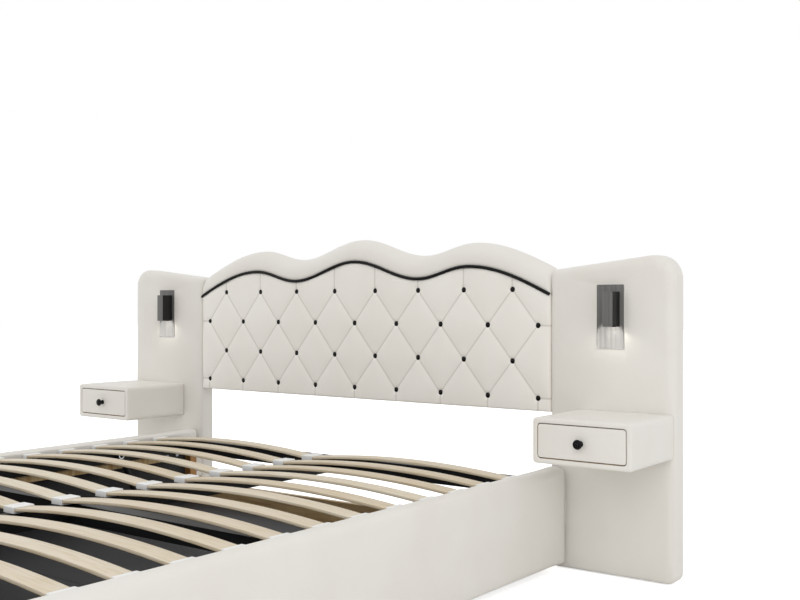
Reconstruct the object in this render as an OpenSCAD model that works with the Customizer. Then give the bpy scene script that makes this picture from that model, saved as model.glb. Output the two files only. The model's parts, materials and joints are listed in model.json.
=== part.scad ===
// Upholstered bed with a tufted headboard, two wing panels with floating nightstands and reading
// lamps, and a slatted deck that lifts over a storage box. Millimetres, +Z up, head end at +Y.
// The origin is on the floor, under the middle of the whole bed.

/* [Bed box] */
// Width between the side rails
inner_w = 1550; // [1400:10:1900]
// Length from the headboard's face to the foot rail
inner_l = 2050; // [1950:10:2200]
// Thickness of a padded rail
rail_t = 60; // [54:1:80]
// Height of a padded rail
rail_h = 290; // [285:5:340]
// Gap between the floor and the rails
floor_gap = 22; // [22:1:40]
// Radius of a rail's outer top edge
rail_round = 20; // [8:1:24]
// Thickness of the board inside a rail
rail_board_t = 25; // [18:1:28]
// Padding and cover over a rail board's edges
rail_pad_edge = 8; // [6:1:14]
// Height of the cover's turn-down on the inner side of a rail
rail_wrap_h = 54; // [45:1:80]
// Thickness of the rails' inner lining
lining_t = 2; // [1.5:0.5:4]
// Gap between a rail's end and the wing's face
rail_end_gap = 15; // [12:1:30]

/* [Head panels] */
// Thickness of headboard and wings, from face to dust cloth
panel_t = 60; // [54:1:80]
// Thickness of the front padding
pad_t = 35; // [30:1:45]
// Thickness of the plywood face inside the frames
ply_t = 5; // [4:1:8]
// Thickness of the dust cloth on the back
cloth_t = 1; // [1:0.5:2]
// Width of a frame's battens
batten_w = 55; // [45:1:70]
// Width of the headboard between the wings
hb_w = 1544; // [1500:2:1560]
// Height of the headboard's lower edge
hb_bottom = 470; // [440:5:500]
// Width of a wing panel
wing_w = 398; // [370:2:440]
// Height of a wing at the headboard's seam
wing_inner_h = 903; // [870:1:930]
// Height of a wing at its outer edge, before rounding
wing_outer_h = 948; // [935:1:970]
// Radius of a wing's outer top corner
wing_top_round = 78; // [40:1:110]
// Radius of a wing's outer bottom corner
wing_foot_round = 28; // [22:1:40]
// Radius of the padded panel edges
pad_round = 14; // [8:1:18]

/* [Headboard form] */
// Distance between the buttons of one row
button_pitch = 182; // [175:1:188]
// Distance between the button rows
row_pitch = 111.7; // [105:0.1:113]
// Height of the lowest button row
first_row_z = 510; // [505:1:525]
// Radius of a button
button_r = 13; // [9:1:16]
// Depth of the creases between the buttons
crease_depth = 9; // [4:1:14]
// Extra depth of the surface under a button
button_sink = 9; // [4:1:12]
// Height of the piping at the middle crest
crest_mid_z = 946; // [930:1:960]
// Height of the piping in the valleys beside the middle crest
valley_z = 883; // [875:1:900]
// Height of the piping at the side crests
crest_side_z = 920; // [905:1:935]
// Height of the piping at the wings
wave_end_z = 828; // [820:1:850]
// Distance of the valleys from the middle
valley_x = 275; // [250:1:300]
// Distance of the side crests from the middle
crest_side_x = 470; // [430:1:500]
// Radius of the piping
piping_r = 5; // [4:0.5:7]
// Height of the smooth band above the piping
band_h = 77; // [60:1:90]
// Thickness of the band's padding on the frame's top
band_top_t = 14; // [10:1:20]

/* [Nightstands] */
// Width of a nightstand
stand_w = 296; // [270:1:330]
// Depth of a nightstand
stand_d = 280; // [270:1:340]
// Height of a nightstand
stand_h = 127; // [125:1:160]
// Height of a nightstand's underside
stand_z = 359; // [350:1:400]
// Distance of a nightstand's side from the wing's outer edge
stand_inset = 4; // [2:1:30]
// Thickness of the case's boards
case_t = 11; // [9:1:12]
// Thickness of the case's padded cover
cover_t = 4; // [3:0.5:5]
// Radius of the case's long edges
stand_round = 9; // [4:1:12]
// Gap round the drawer front
drawer_gap = 2; // [1.5:0.5:4]
// Thickness of the drawer front
drawer_front_t = 16; // [14:1:20]
// Depth of the drawer box behind its front
drawer_box_d = 225; // [200:1:230]
// Height of the drawer box
drawer_box_h = 75; // [60:1:78]
// Thickness of the drawer box's sides
drawer_side_t = 10; // [8:1:14]
// Thickness of the drawer's bottom
drawer_bottom_t = 4; // [3:1:6]
// Travel of the drawer
drawer_travel = 190; // [120:5:195]
// Radius of the drawer knob
knob_r = 13.5; // [10:0.5:18]
// How far the knob stands out
knob_l = 24; // [18:1:34]

/* [Drawer runners] */
// Room for a runner beside the drawer box
runner_space = 13; // [12.5:0.5:16]
// Height of a runner's outer channel
runner_h = 35; // [30:1:45]
// Thickness of the runners' sheet steel
runner_sheet = 1.5; // [1.2:0.1:2]
// Depth of the channel's lips
runner_lip = 3; // [2:0.5:4]
// Clearance between the two members
runner_play = 0.5; // [0.3:0.1:0.8]
// Length of a runner still held when the drawer is open
runner_hold = 31; // [20:1:40]

/* [Reading lamps] */
// Width of the lamp's wall plate
plate_w = 86; // [80:1:110]
// Height of the wall plate
plate_h = 188; // [150:1:220]
// Thickness of the wall plate
plate_t = 2; // [1.5:0.5:4]
// Height of the wall plate's lower edge
plate_z = 668; // [650:1:690]
// Width of the lamp housing
lamp_w = 32; // [28:1:50]
// Depth of the lamp housing
lamp_d = 48; // [40:1:60]
// Height of the lamp housing
lamp_h = 102; // [80:1:120]
// Height of the housing's lower edge
lamp_z = 733; // [720:1:740]
// Sideways offset of both housings from their plates, towards +X
lamp_shift = 14; // [0:1:20]
// Wall of the lamp housing
lamp_wall = 1.5; // [1:0.5:3]
// Thickness of the lens
lens_t = 3; // [2:0.5:5]
// Thickness of the lamp's circuit board
led_t = 1.6; // [1:0.2:3]

/* [Slatted deck] */
// Width of the deck's steel tubes
tube_w = 25; // [20:1:30]
// Height of the deck's steel tubes
tube_h = 50; // [40:1:52]
// Wall of the deck's steel tubes
tube_wall = 1.5; // [1.2:0.1:3]
// Gap between a side tube and the rail beside it
tube_gap = 12; // [10:1:20]
// Height of the deck tubes' top
deck_z = 283; // [280:1:286]
// Least distance of the last slat from the foot rail
last_slat_room = 150; // [140:5:180]
// Distance between two slats
slat_pitch = 136.6; // [100:0.1:137]
// Distance of the first slat from the headboard's face
first_slat = 215; // [200:1:230]
// Width of a slat
slat_w = 53; // [40:1:70]
// Thickness of a slat
slat_t = 8; // [6:1:10]
// Rise of a slat's middle over its ends
slat_bow = 22; // [10:1:40]
// Height of a slat's end above the tubes
slat_lift = 4; // [3:1:10]
// Wall of the slat holders
holder_wall = 3; // [2:0.5:4]
// Plastic over a slat in its holder
holder_roof = 2; // [1.5:0.5:4]
// Length of a slat's outer end inside its cap
holder_grip = 28; // [20:1:34]
// Length of a slat's inner end inside its centre holder
centre_grip = 14; // [10:1:20]

/* [Lift] */
// Distance of the hinge pins from the headboard's face
pivot_back = 152; // [152:1:160]
// Distance of the head tube's middle from the headboard's face
head_tube_back = 102; // [100:1:104]
// Distance of both strut studs from the hinge pin
strut_arm = 275; // [250:1:285]
// Angle between the two strut studs with the deck down
strut_angle = 48; // [46:1:50]
// Opening angle of the deck
lift_angle = 40; // [20:1:40]
// Radius of the hinge pins
pin_r = 6; // [5:0.5:8]
// Radius of the strut studs
stud_r = 4; // [3:0.5:5]
// Running clearance of pins and studs
pin_play = 0.08; // [0.02:0.01:0.1]
// Clearance of the rod eye round the deck's stud
eye_slack = 3.6; // [3.5:0.1:5]
// Radius of a gas strut's cylinder
strut_r = 10; // [9:0.5:11]
// Radius of a gas strut's rod
rod_r = 4; // [3:0.5:5]
// Thickness of the eyes at the strut's ends
eye_t = 8; // [6:1:10]

/* [Storage box] */
// Height of the brown board across the head end
crossboard_h = 93; // [60:1:95]
// Thickness of that board
crossboard_t = 18; // [15:1:20]
// Thickness of a corner post, both ways
post_w = 30; // [20:1:30]
// Height of the corner posts' top
post_top = 225; // [200:1:228]
// Height of a floor bearer
bearer_h = 12; // [9:1:14]
// Width of a floor bearer
bearer_w = 60; // [40:1:90]
// Number of floor bearers
bearer_count = 5; // [4:1:8]
// Thickness of the floor panels
floor_t = 4; // [3:1:5]
// Thickness of the battens that the deck rests on, both ways
rest_w = 25; // [20:1:28]
// Radius of a foot
foot_r = 18; // [12:1:22]

/* [Hardware] */
// Thickness of the brackets' steel
bracket_t = 4; // [3:0.5:5]
// Radius of a bolt's shank
bolt_r = 4; // [3:0.5:4]
// Radius of a bolt's hexagon head, over its corners
bolt_head_r = 7; // [6:0.5:7.5]
// Height of a bolt head
bolt_head_h = 5; // [4:0.5:5.5]
// Length of the bolts into the rails
rail_bolt_l = 26; // [20:1:27]
// Length of the bolts through the wings
wing_bolt_l = 55; // [48:1:56]
// Thickness of the joining plates on the back
join_t = 3; // [2:0.5:4]
// Width of a joining plate
join_w = 120; // [90:1:140]
// Height of a joining plate
join_h = 40; // [30:1:50]
// Radius of a joining screw's shank
screw_r = 2; // [1.5:0.5:2.5]
// Length of a joining screw
screw_l = 16; // [10:1:18]
// Height of a joining screw's head
screw_head_h = 1; // [0.8:0.1:1.5]
// Thickness of the glides under the wings
glide_t = 3; // [2:0.5:6]
// Radius of a glide
glide_r = 9; // [6:0.5:9]

/* [Hidden] */

$fn = 32;
sides = [-1, 1];

// Places along the bed, from the foot at -Y to the head at +Y
hardware_t = join_t + screw_head_h;
total_l = rail_t + inner_l + panel_t + hardware_t;
back_y = total_l / 2;
cloth_y = back_y - hardware_t;
face_y = cloth_y - panel_t;
frame_y = face_y + pad_t;
frame_t = panel_t - pad_t - cloth_t;
foot_y = face_y - inner_l;
foot_out_y = foot_y - rail_t;
rail_end_y = face_y - rail_end_gap;

// Places across the bed
wing_in_x = hb_w / 2;
wing_out_x = wing_in_x + wing_w;
rail_x = inner_w / 2;
rail_out_x = rail_x + rail_t;
board_x = rail_x + lining_t;
stand_x = wing_out_x - stand_inset - stand_w / 2;
lamp_x = wing_in_x + wing_w / 2 + 1;
tube_out_x = rail_x - tube_gap;
tube_in_x = tube_out_x - tube_w;

// Heights
rail_top = floor_gap + rail_h;
lining_z = floor_gap + rail_pad_edge;
lining_top = rail_top - rail_wrap_h;
tube_z = deck_z - tube_h;
pivot_z = deck_z - tube_h / 2;
floor_z = floor_gap + bearer_h;
floor_top = floor_z + floor_t;
opening_w = stand_w - 2 * (case_t + cover_t);
opening_h = stand_h - 2 * (case_t + cover_t);
opening_z = stand_z + cover_t + case_t;
stand_mid_z = stand_z + stand_h / 2;

seat = 0.3;          // clearance of a fit between two bodies
hole_play = 0.1;     // clearance of a bolt or screw in its hole
head_play = 2;       // clearance round a bolt's head
columns_per_pitch = 6;
rows_per_pitch = 3;
button_room = 20;    // least distance of a button from a seam
last_button = floor((wing_in_x - button_r - button_room) / button_pitch);
wave_steps = 26;     // steps of the wave's outline, from the middle to a wing

// ---- shared outlines ----------------------------------------------------------------------

function unit(v) = v / norm(v);

// The points of one rounded corner, from the side of a to the side of b
function corner(a, p, b, r, steps) =
    let (u = unit(a - p), v = unit(b - p), half = acos(u * v) / 2,
         c = p + unit(u + v) * r / sin(half), from = (p + u * r / tan(half) - c) / r,
         to = (p + v * r / tan(half) - c) / r, turn = 180 - 2 * half)
    [for (k = [0:steps])
        let (s = k / steps)
        c + r * (sin((1 - s) * turn) * from + sin(s * turn) * to) / sin(turn)];

// A polygon with its own radius at each corner
function rounded(pts, radii, steps = 6) =
    let (n = len(pts))
    [for (k = [0:n - 1])
        each corner(pts[(k + n - 1) % n], pts[k], pts[(k + 1) % n], radii[k], steps)];

// A convex outline, counter-clockwise, drawn in by a distance
function drawn_in(pts, d) =
    let (n = len(pts))
    [for (k = [0:n - 1])
        let (a = unit(pts[k] - pts[(k + n - 1) % n]), b = unit(pts[(k + 1) % n] - pts[k]),
             na = [-a[1], a[0]], nb = [-b[1], b[0]], m = unit(na + nb))
        pts[k] + m * d / (m * na)];

function rectangle(x0, z0, x1, z1) = [[x0, z0], [x1, z0], [x1, z1], [x0, z1]];

// Extrudes an outline given in X and Z from y0 to y1
module along_y(y0, y1) {
    translate([0, y1, 0]) rotate([90, 0, 0]) linear_extrude(y1 - y0) children();
}

// Extrudes an outline given in Y and Z from x0 to x1
module along_x(x0, x1) {
    translate([x0, 0, 0]) rotate([90, 0, 90]) linear_extrude(x1 - x0) children();
}

// A box between two corners
module block(low, high) {
    translate(low) cube(high - low);
}

// A round bar along X or along Y
module bar_x(x0, x1, y, z, r) {
    translate([x0, y, z]) rotate([0, 90, 0]) cylinder(h = x1 - x0, r = r);
}

module bar_y(y0, y1, x, z, r) {
    translate([x, y0, z]) rotate([-90, 0, 0]) cylinder(h = y1 - y0, r = r);
}

module on_side(side) {
    mirror([side < 0 ? 1 : 0, 0, 0]) children();
}

// A closed skin through a row of loops that all have the same number of points. The first point
// of each end loop sees the whole of its loop. Each four-sided face is split along the diagonal
// that lies further back, so that a crease across it stays unbroken.
module skin(loops) {
    n = len(loops);
    m = len(loops[0]);
    points = [for (loop = loops) each loop];
    around = [for (i = [0:n - 2], j = [0:m - 1])
        let (a = i * m + j, b = i * m + (j + 1) % m,
             forward = points[a][1] + points[b + m][1], backward = points[b][1] + points[a + m][1])
        each forward >= backward
            ? [[a, b, b + m], [a, b + m, a + m]]
            : [[a, b, a + m], [b, b + m, a + m]]];
    first = [for (j = [1:m - 2]) [0, j + 1, j]];
    last = [for (j = [1:m - 2]) let (q = (n - 1) * m) [q, q + j, q + j + 1]];
    polyhedron(points = points, faces = concat(around, first, last), convexity = 10);
}

// ---- headboard ----------------------------------------------------------------------------

function ease(t) = (1 - cos(180 * t)) / 2;

// Height of the piping across the headboard
function wave(x) =
    let (s = abs(x))
    s < valley_x ? crest_mid_z + (valley_z - crest_mid_z) * ease(s / valley_x)
    : s < crest_side_x
        ? valley_z + (crest_side_z - valley_z) * ease((s - valley_x) / (crest_side_x - valley_x))
        : crest_side_z - (crest_side_z - wave_end_z)
            * (1 - cos(90 * (s - crest_side_x) / (wing_in_x - crest_side_x)));

// How full the padding stands at a place, from 0 in a crease to 1 in the middle of a tuft
function fullness(a, b) =
    let (across = abs(sin(180 * a)), between = abs(cos(180 * a)),
         diamond = sqrt(abs(sin(180 * (a + b / 2)) * sin(180 * (a - b / 2)))))
    abs(a) > last_button ? (b > 3 ? 1 : pow(abs(sin(90 * b)), 0.8))
    : b > 3 ? between : b < 0 ? across : diamond;

dimple_spread = 1.3;  // how far a button draws the padding in, in radii
row_reach = 0.3;      // how far the outer buttons' dimples reach sideways, in pitches

// Extra depth close to the buttons of one row
function dimple(a, b, row) =
    let (shift = row % 2 == 0 ? 0 : 0.5, da = (a - shift - round(a - shift)) * button_pitch,
         db = (b - row) * row_pitch, near = abs(a) < last_button + row_reach ? 1 : 0)
    near * exp(-(da * da + db * db) / pow(dimple_spread * button_r, 2));

// Depth of the rounded edge at a distance from it
function edge_drop(d) =
    let (t = 1 - min(1, max(0, d / pad_round))) pad_round * (1 - sqrt(1 - t * t));

top_share = 0.6;  // the padding's top edge turns back less than its other edges

// Y of the tufted face
function tuft_y(x, z) =
    let (a = x / button_pitch, b = (z - first_row_z) / row_pitch,
         side = edge_drop(wing_in_x - abs(x)), low = edge_drop(z - hb_bottom),
         high = edge_drop(wave(x) - z) * top_share,
         calm = max(side, low, high) / pad_round,
         sunk = button_sink * max([for (row = [0:3]) dimple(a, b, row)]))
    face_y + max(side, low, high)
        + (1 - calm) * (crease_depth * (1 - fullness(a, b)) + sunk);

// Columns of the headboard's meshes: even steps between the rounded edges, some on the buttons
even_columns = floor((wing_in_x - pad_round - 1) / button_pitch * columns_per_pitch);
hb_columns = concat(
    [-wing_in_x, -wing_in_x + pad_round / 3, -wing_in_x + pad_round],
    [for (k = [-even_columns:even_columns]) k * button_pitch / columns_per_pitch],
    [wing_in_x - pad_round, wing_in_x - pad_round / 3, wing_in_x]);

top_row_share = 0.8;  // the top button row keeps below this share of the room under the piping

// Heights of the mesh rows in one column, which follow the button rows and then the wave
function row_heights(x) =
    let (top = wave(x), held = first_row_z + 2 * row_pitch,
         last_row = held + min(row_pitch, top_row_share * (top - held)))
    concat(
        [hb_bottom, hb_bottom + pad_round / 3, hb_bottom + pad_round],
        [for (k = [0:2 * rows_per_pitch]) first_row_z + k * row_pitch / rows_per_pitch],
        [for (k = [1:rows_per_pitch]) held + (last_row - held) * k / rows_per_pitch],
        [(last_row + top) / 2, top - piping_r, top]);

module headboard_pad() {
    color("#DCD9D2")
    skin([for (x = hb_columns)
        concat([[x, frame_y, hb_bottom]],
            [for (z = row_heights(x)) [x, tuft_y(x, z), z]],
            [[x, frame_y, wave(x)]])]);
}

band_set_back = 6;  // depth of the band's lower edge behind the face, beside the piping
band_tuck = 14;     // height over which the band swells out of the piping's seam

// Section of the smooth band: inner corner first, then up the front and over the top
function band_loop(x) =
    let (z = wave(x), top = z + band_h, inner = top - band_top_t,
         dip = edge_drop(wing_in_x - abs(x)))
    concat(
        [[x, frame_y, inner], [x, frame_y, z], [x, face_y + band_set_back + dip / 2, z]],
        [for (k = [0:6])
            let (t = k / 6 * 90)
            [x, face_y + dip + (panel_t - dip - cloth_t) * (1 - cos(t)),
                z + band_tuck + (band_h - band_tuck - dip) * sin(t)]],
        [[x, cloth_y - cloth_t, inner]]);

module headboard_band() {
    color("#DCD9D2") skin([for (x = hb_columns) band_loop(x)]);
}

piping_sides = 6;

// The piping turns at the same places as the padding and the band, so that it lies evenly
// between them, and ends short of the wings
module headboard_piping() {
    color("#141414")
    skin([for (i = [1:len(hb_columns) - 2])
        let (x = hb_columns[i], z = wave(x), slope = atan2(wave(x + 1) - wave(x - 1), 2),
             d = edge_drop(wing_in_x - abs(x)) / 3)
        [for (k = [0:piping_sides - 1])
            let (t = 360 * k / piping_sides, up = piping_r * cos(t))
            [x - up * sin(slope), face_y + d - piping_r * sin(t), z + up * cos(slope)]]]);
}

// Places of the buttons: nine and eight in turn, from the lowest row up
button_places = [for (row = [0:3])
    let (n = row % 2 == 0 ? 2 * last_button + 1 : 2 * last_button)
    for (k = [0:n - 1]) [(k - (n - 1) / 2) * button_pitch, first_row_z + row * row_pitch]];

// The padding falls away from a button to the next column of its mesh; the button's back is a
// cone a little steeper than that, so that it seats in the hollow and cuts nothing
steeper = 0.03;
button_column = button_pitch / columns_per_pitch;
hollow_slope = (tuft_y(0, first_row_z) - tuft_y(button_column, first_row_z)) / button_column;
button_slope = hollow_slope + steeper;
button_tip_r = 2;
button_tip_gap = 1.2;  // from the hollow's lowest point to the flat tip of the cone
button_dome = 6;
button_rim = 1;
button_cone_h = (button_r - button_tip_r) * button_slope;

// A button along +Z from the tip of its back
module button_shape() {
    rotate_extrude() polygon(concat(
        [[0, 0], [button_tip_r, 0], [button_r, button_cone_h]],
        [for (k = [0:8])
            [button_r * cos(k * 11.25), button_cone_h + button_rim + button_dome * sin(k * 11.25)]]));
}

module headboard_buttons() {
    color("#101010")
    for (p = button_places)
        translate([p[0], face_y + crease_depth + button_sink - button_tip_gap, p[1]])
            rotate([90, 0, 0]) button_shape();
}

// Outline of the headboard's frame, in from the padding
hb_frame_inset = 3;
hb_frame_top_gap = 1;
hb_frame_x = wing_in_x - hb_frame_inset;
hb_frame_outline = concat(
    [[-hb_frame_x, hb_bottom + hb_frame_inset], [hb_frame_x, hb_bottom + hb_frame_inset]],
    [for (k = [wave_steps:-1:-wave_steps])
        let (x = k * hb_frame_x / wave_steps) [x, wave(x) + band_h - band_top_t - hb_frame_top_gap]]);

hb_window_w = (2 * hb_frame_x - 4 * batten_w) / 3;
hb_window_top = min(valley_z, wave_end_z) + band_h - band_top_t - batten_w - 2 * hb_frame_inset;

module headboard_frame() {
    color("#C8A26A")
    difference() {
        along_y(frame_y, frame_y + frame_t) polygon(hb_frame_outline);
        for (k = [-1:1])
            translate([k * (hb_window_w + batten_w), 0, 0])
                block([-hb_window_w / 2, frame_y + ply_t, hb_bottom + batten_w],
                    [hb_window_w / 2, frame_y + frame_t + 1, hb_window_top]);
        join_holes();
    }
}

// ---- wings --------------------------------------------------------------------------------

seam_gap = 0.5;  // between the headboard and a wing
soft_corner = pad_round + 3;
wing_outline = rounded(
    [[wing_in_x + seam_gap, glide_t], [wing_out_x, glide_t], [wing_out_x, wing_outer_h],
        [wing_in_x + seam_gap, wing_inner_h]],
    [soft_corner, wing_foot_round, wing_top_round, soft_corner], 7);
frame_inset = 8;
wing_frame_outline = drawn_in(wing_outline, frame_inset);

// Corner bolts: how far they lie below the lining's top, and outside the rail's inner side
low_bolt_drop = 108;
high_bolt_drop = 28;
wing_bolt_out = 30;
bolt_hole_reach = 30;  // the holes through the wing start this far in front of its face
// Places of the bolts through the wing: rail bracket bolts, then nightstand bolts, whose heads
// stay clear of the outer batten
rail_bolt_places = [for (drop = [low_bolt_drop, high_bolt_drop])
    [rail_x + wing_bolt_out, lining_top - drop]];
stand_bolt_dx = wing_out_x - frame_inset - batten_w - bolt_head_r - 2 * head_play - stand_x;
stand_bolt_dz = 25;
stand_bolt_places = [for (sx = sides, sz = sides)
    [stand_x + sx * stand_bolt_dx, stand_mid_z + sz * stand_bolt_dz]];

module wing_bolt_holes() {
    for (p = concat(rail_bolt_places, stand_bolt_places))
        bar_y(face_y - bolt_hole_reach, cloth_y + 1, p[0], p[1], bolt_r + hole_play);
}

// From the recess that holds the frame, over the back rim and round the edge to the face
wing_pad_rings = concat(
    [[frame_inset, frame_y], [frame_inset, cloth_y - cloth_t], [0, cloth_y - cloth_t]],
    [for (t = [0:30:90]) [pad_round * (1 - cos(t)), face_y + pad_round * (1 - sin(t))]]);

module wing_pad() {
    color("#DCD9D2")
    difference() {
        skin([for (ring = wing_pad_rings)
            [for (p = drawn_in(wing_outline, ring[0])) [p[0], ring[1], p[1]]]]);
        wing_bolt_holes();
    }
}

mid_batten_rise = 30;  // from a nightstand's top to the middle of the batten above it
wing_mid_batten = stand_z + stand_h + mid_batten_rise;

module wing_frame() {
    color("#C8A26A")
    difference() {
        along_y(frame_y, frame_y + frame_t) polygon(wing_frame_outline);
        for (z = [[frame_inset + batten_w, wing_mid_batten - batten_w / 2],
                [wing_mid_batten + batten_w / 2, wing_inner_h - 2 * frame_inset - batten_w]])
            block([wing_in_x + frame_inset + batten_w, frame_y + ply_t, z[0]],
                [wing_out_x - frame_inset - batten_w, frame_y + frame_t + 1, z[1]]);
        wing_bolt_holes();
        join_holes();
    }
}

module back_dust_cloths() {
    color("#1C1C1E") {
        difference() {
            along_y(cloth_y - cloth_t, cloth_y) polygon(hb_frame_outline);
            join_holes();
        }
        for (side = sides)
            on_side(side)
                difference() {
                    along_y(cloth_y - cloth_t, cloth_y) polygon(drawn_in(wing_outline, 2));
                    join_holes();
                    for (p = stand_bolt_places)
                        bar_y(cloth_y - cloth_t - 1, cloth_y + 1, p[0], p[1],
                            bolt_head_r + head_play);
                }
    }
}

// Steel plates across the seams, and their screws
join_screw_in_x = 15;  // from a plate's ends to its screws
join_screw_in_z = 9;   // from its long edges
join_top = min(wave_end_z, wing_inner_h - join_h);
join_places = [for (z = [hb_bottom + join_h, join_top - join_h / 4]) [wing_in_x, z]];
join_screws_at = [for (p = join_places, sx = sides, sz = sides)
    [p[0] + sx * (join_w / 2 - join_screw_in_x), p[1] + sz * (join_h / 2 - join_screw_in_z)]];

module join_holes() {
    for (side = sides, p = join_screws_at)
        bar_y(cloth_y - frame_t, back_y, side * p[0], p[1], screw_r + hole_play);
}

module joining_plates() {
    color("#8A8D90")
    for (side = sides)
        on_side(side)
            difference() {
                for (p = join_places)
                    block([p[0] - join_w / 2, cloth_y, p[1] - join_h / 2],
                        [p[0] + join_w / 2, cloth_y + join_t, p[1] + join_h / 2]);
                join_holes();
            }
}

module joining_screws() {
    color("#B5B8BB")
    for (side = sides, p = join_screws_at) {
        bar_y(cloth_y + join_t - screw_l, cloth_y + join_t, side * p[0], p[1], screw_r);
        bar_y(cloth_y + join_t, back_y, side * p[0], p[1], 2 * screw_r);
    }
}

glide_in = 50;   // from a wing's inner side to its first glide
glide_out = 60;  // from its outer side to the other

module wing_glides() {
    color("#26262A")
    for (side = sides, x = [wing_in_x + glide_in, wing_out_x - glide_out])
        translate([side * x, frame_y + frame_t / 2, 0]) cylinder(h = glide_t, r = glide_r);
}

// Hexagon bolt along +Y from a seat, or along +X from a seat
module hex_bolt(l) {
    cylinder(h = l, r = bolt_r);
    translate([0, 0, -bolt_head_h]) cylinder(h = bolt_head_h, r = bolt_head_r, $fn = 6);
}

module wing_bolts() {
    color("#8A8D90")
    for (side = sides)
        on_side(side) {
            for (p = rail_bolt_places)
                translate([p[0], face_y - bracket_t, p[1]]) rotate([-90, 0, 0])
                    hex_bolt(wing_bolt_l);
            for (p = stand_bolt_places)
                translate([p[0], frame_y + ply_t, p[1]]) rotate([90, 0, 0])
                    hex_bolt(wing_bolt_l);
        }
}

// ---- rails --------------------------------------------------------------------------------

// Radii of a padded rail's other edges: inner foot, outer foot, inner top, and at its end
rail_foot_in_round = 6;
rail_foot_out_round = 12;
rail_top_in_round = 14;
rail_end_out_round = 15;
rail_end_in_round = 8;
board_top_room = 4;  // further padding over a rail board

// Outline of a padded rail, from its inner face outwards
rail_outline = rounded(rectangle(rail_x, floor_gap, rail_out_x, rail_top),
    [rail_foot_in_round, rail_foot_out_round, rail_round, rail_top_in_round], 6);
// What lies inside the cover: the board, and the lining's recess
board_outline = rectangle(board_x, floor_gap + rail_pad_edge, board_x + rail_board_t,
    rail_top - rail_pad_edge - board_top_room);
lining_outline = rectangle(rail_x, lining_z, board_x, lining_top);
rail_inset_y = rail_end_y - rail_pad_edge;

// Corner brackets: the length of a leg, and how far from the corner its bolts are
head_bracket_l = 50;
corner_bolt_in = 33;
// Hinge plate round its pin: half its width, its reach below and above, and its bolts
plate_half = 36;
plate_below = 48;
plate_above = 14;
plate_bolt_y = 24;
plate_bolt_z = 34;
// Strut plate round its stud, in the same order
strut_plate_half = 32;
strut_plate_below = 14;
strut_plate_above = 44;
strut_bolt_y = 20;
strut_bolt_z = 30;

pivot_y = face_y - pivot_back;
strut_foot_y = pivot_y - strut_arm * cos(strut_angle);
strut_foot_z = pivot_z - strut_arm * sin(strut_angle);

// Bolts into the rails: head bracket, hinge plate, strut plate and foot bracket
rail_side_bolts = concat(
    [for (p = rail_bolt_places) [face_y - corner_bolt_in, p[1]]],
    [for (s = sides) [pivot_y + s * plate_bolt_y, pivot_z - plate_bolt_z]],
    [for (s = sides) [strut_foot_y + s * strut_bolt_y, strut_foot_z + strut_bolt_z]],
    [for (p = rail_bolt_places) [foot_y + corner_bolt_in, p[1]]]);
foot_rail_bolts = [for (p = rail_bolt_places) [rail_x - corner_bolt_in, p[1]]];

module side_rail_holes() {
    for (p = rail_side_bolts)
        bar_x(rail_x - 1, rail_x + rail_bolt_l, p[0], p[1], bolt_r + hole_play);
}

module foot_rail_holes() {
    for (side = sides, p = foot_rail_bolts)
        bar_y(foot_y - rail_bolt_l, foot_y + 1, side * p[0], p[1], bolt_r + hole_play);
}

module rail_board() {
    color("#C8A26A")
    difference() {
        along_y(foot_y, rail_inset_y) polygon(board_outline);
        side_rail_holes();
    }
}

module foot_rail_board() {
    color("#C8A26A")
    difference() {
        along_x(-rail_x - lining_t, rail_x + lining_t)
            polygon([for (p = board_outline) [foot_y - (p[0] - rail_x), p[1]]]);
        foot_rail_holes();
    }
}

beyond = 50;        // how far a rounding outline runs past what it doesn't round
square_corner = 1;  // radius of a corner that lies outside the solid
foot_end_round = 2; // radius where the foot rail meets a side rail

// The side rail's cover: padded outside, over the top and round the end by the wing
module rail_cover() {
    color("#DCD9D2")
    difference() {
        intersection() {
            along_y(foot_y, rail_end_y) polygon(rail_outline);
            linear_extrude(rail_top + 1)
                polygon(rounded(rectangle(rail_x - 1, foot_y - beyond, rail_out_x, rail_end_y),
                    [square_corner, square_corner, rail_end_out_round, rail_end_in_round]));
        }
        along_y(foot_y - 1, rail_inset_y) polygon(board_outline);
        along_y(foot_y - 1, rail_inset_y)
            polygon(rectangle(rail_x - 1, lining_z, board_x + 1, lining_top));
    }
}

module foot_rail_cover() {
    color("#DCD9D2")
    difference() {
        intersection() {
            along_x(-rail_out_x, rail_out_x)
                polygon([for (p = rail_outline) [foot_y - (p[0] - rail_x), p[1]]]);
            linear_extrude(rail_top + 1)
                polygon(rounded(rectangle(-rail_out_x, foot_out_y, rail_out_x, foot_y + beyond),
                    [rail_round, rail_round, foot_end_round, foot_end_round]));
        }
        along_x(-board_x, board_x)
            polygon([for (p = board_outline) [foot_y - (p[0] - rail_x), p[1]]]);
        along_x(-board_x, board_x)
            polygon(rectangle(foot_y - lining_t, lining_z, foot_y + 1, lining_top));
    }
}

module rail_linings() {
    color("#202022") {
        for (side = sides)
            on_side(side)
                difference() {
                    along_y(foot_y, rail_inset_y) polygon(lining_outline);
                    side_rail_holes();
                }
        difference() {
            along_x(-rail_x, rail_x)
                polygon(rectangle(foot_y - lining_t, lining_z, foot_y, lining_top));
            foot_rail_holes();
        }
    }
}

bracket_edge = 20;  // from a corner bolt to a bracket's end
bracket_side = 22;  // and to its side
bracket_z = [lining_top - low_bolt_drop - bracket_edge,
    lining_top - high_bolt_drop + bracket_edge];

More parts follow.
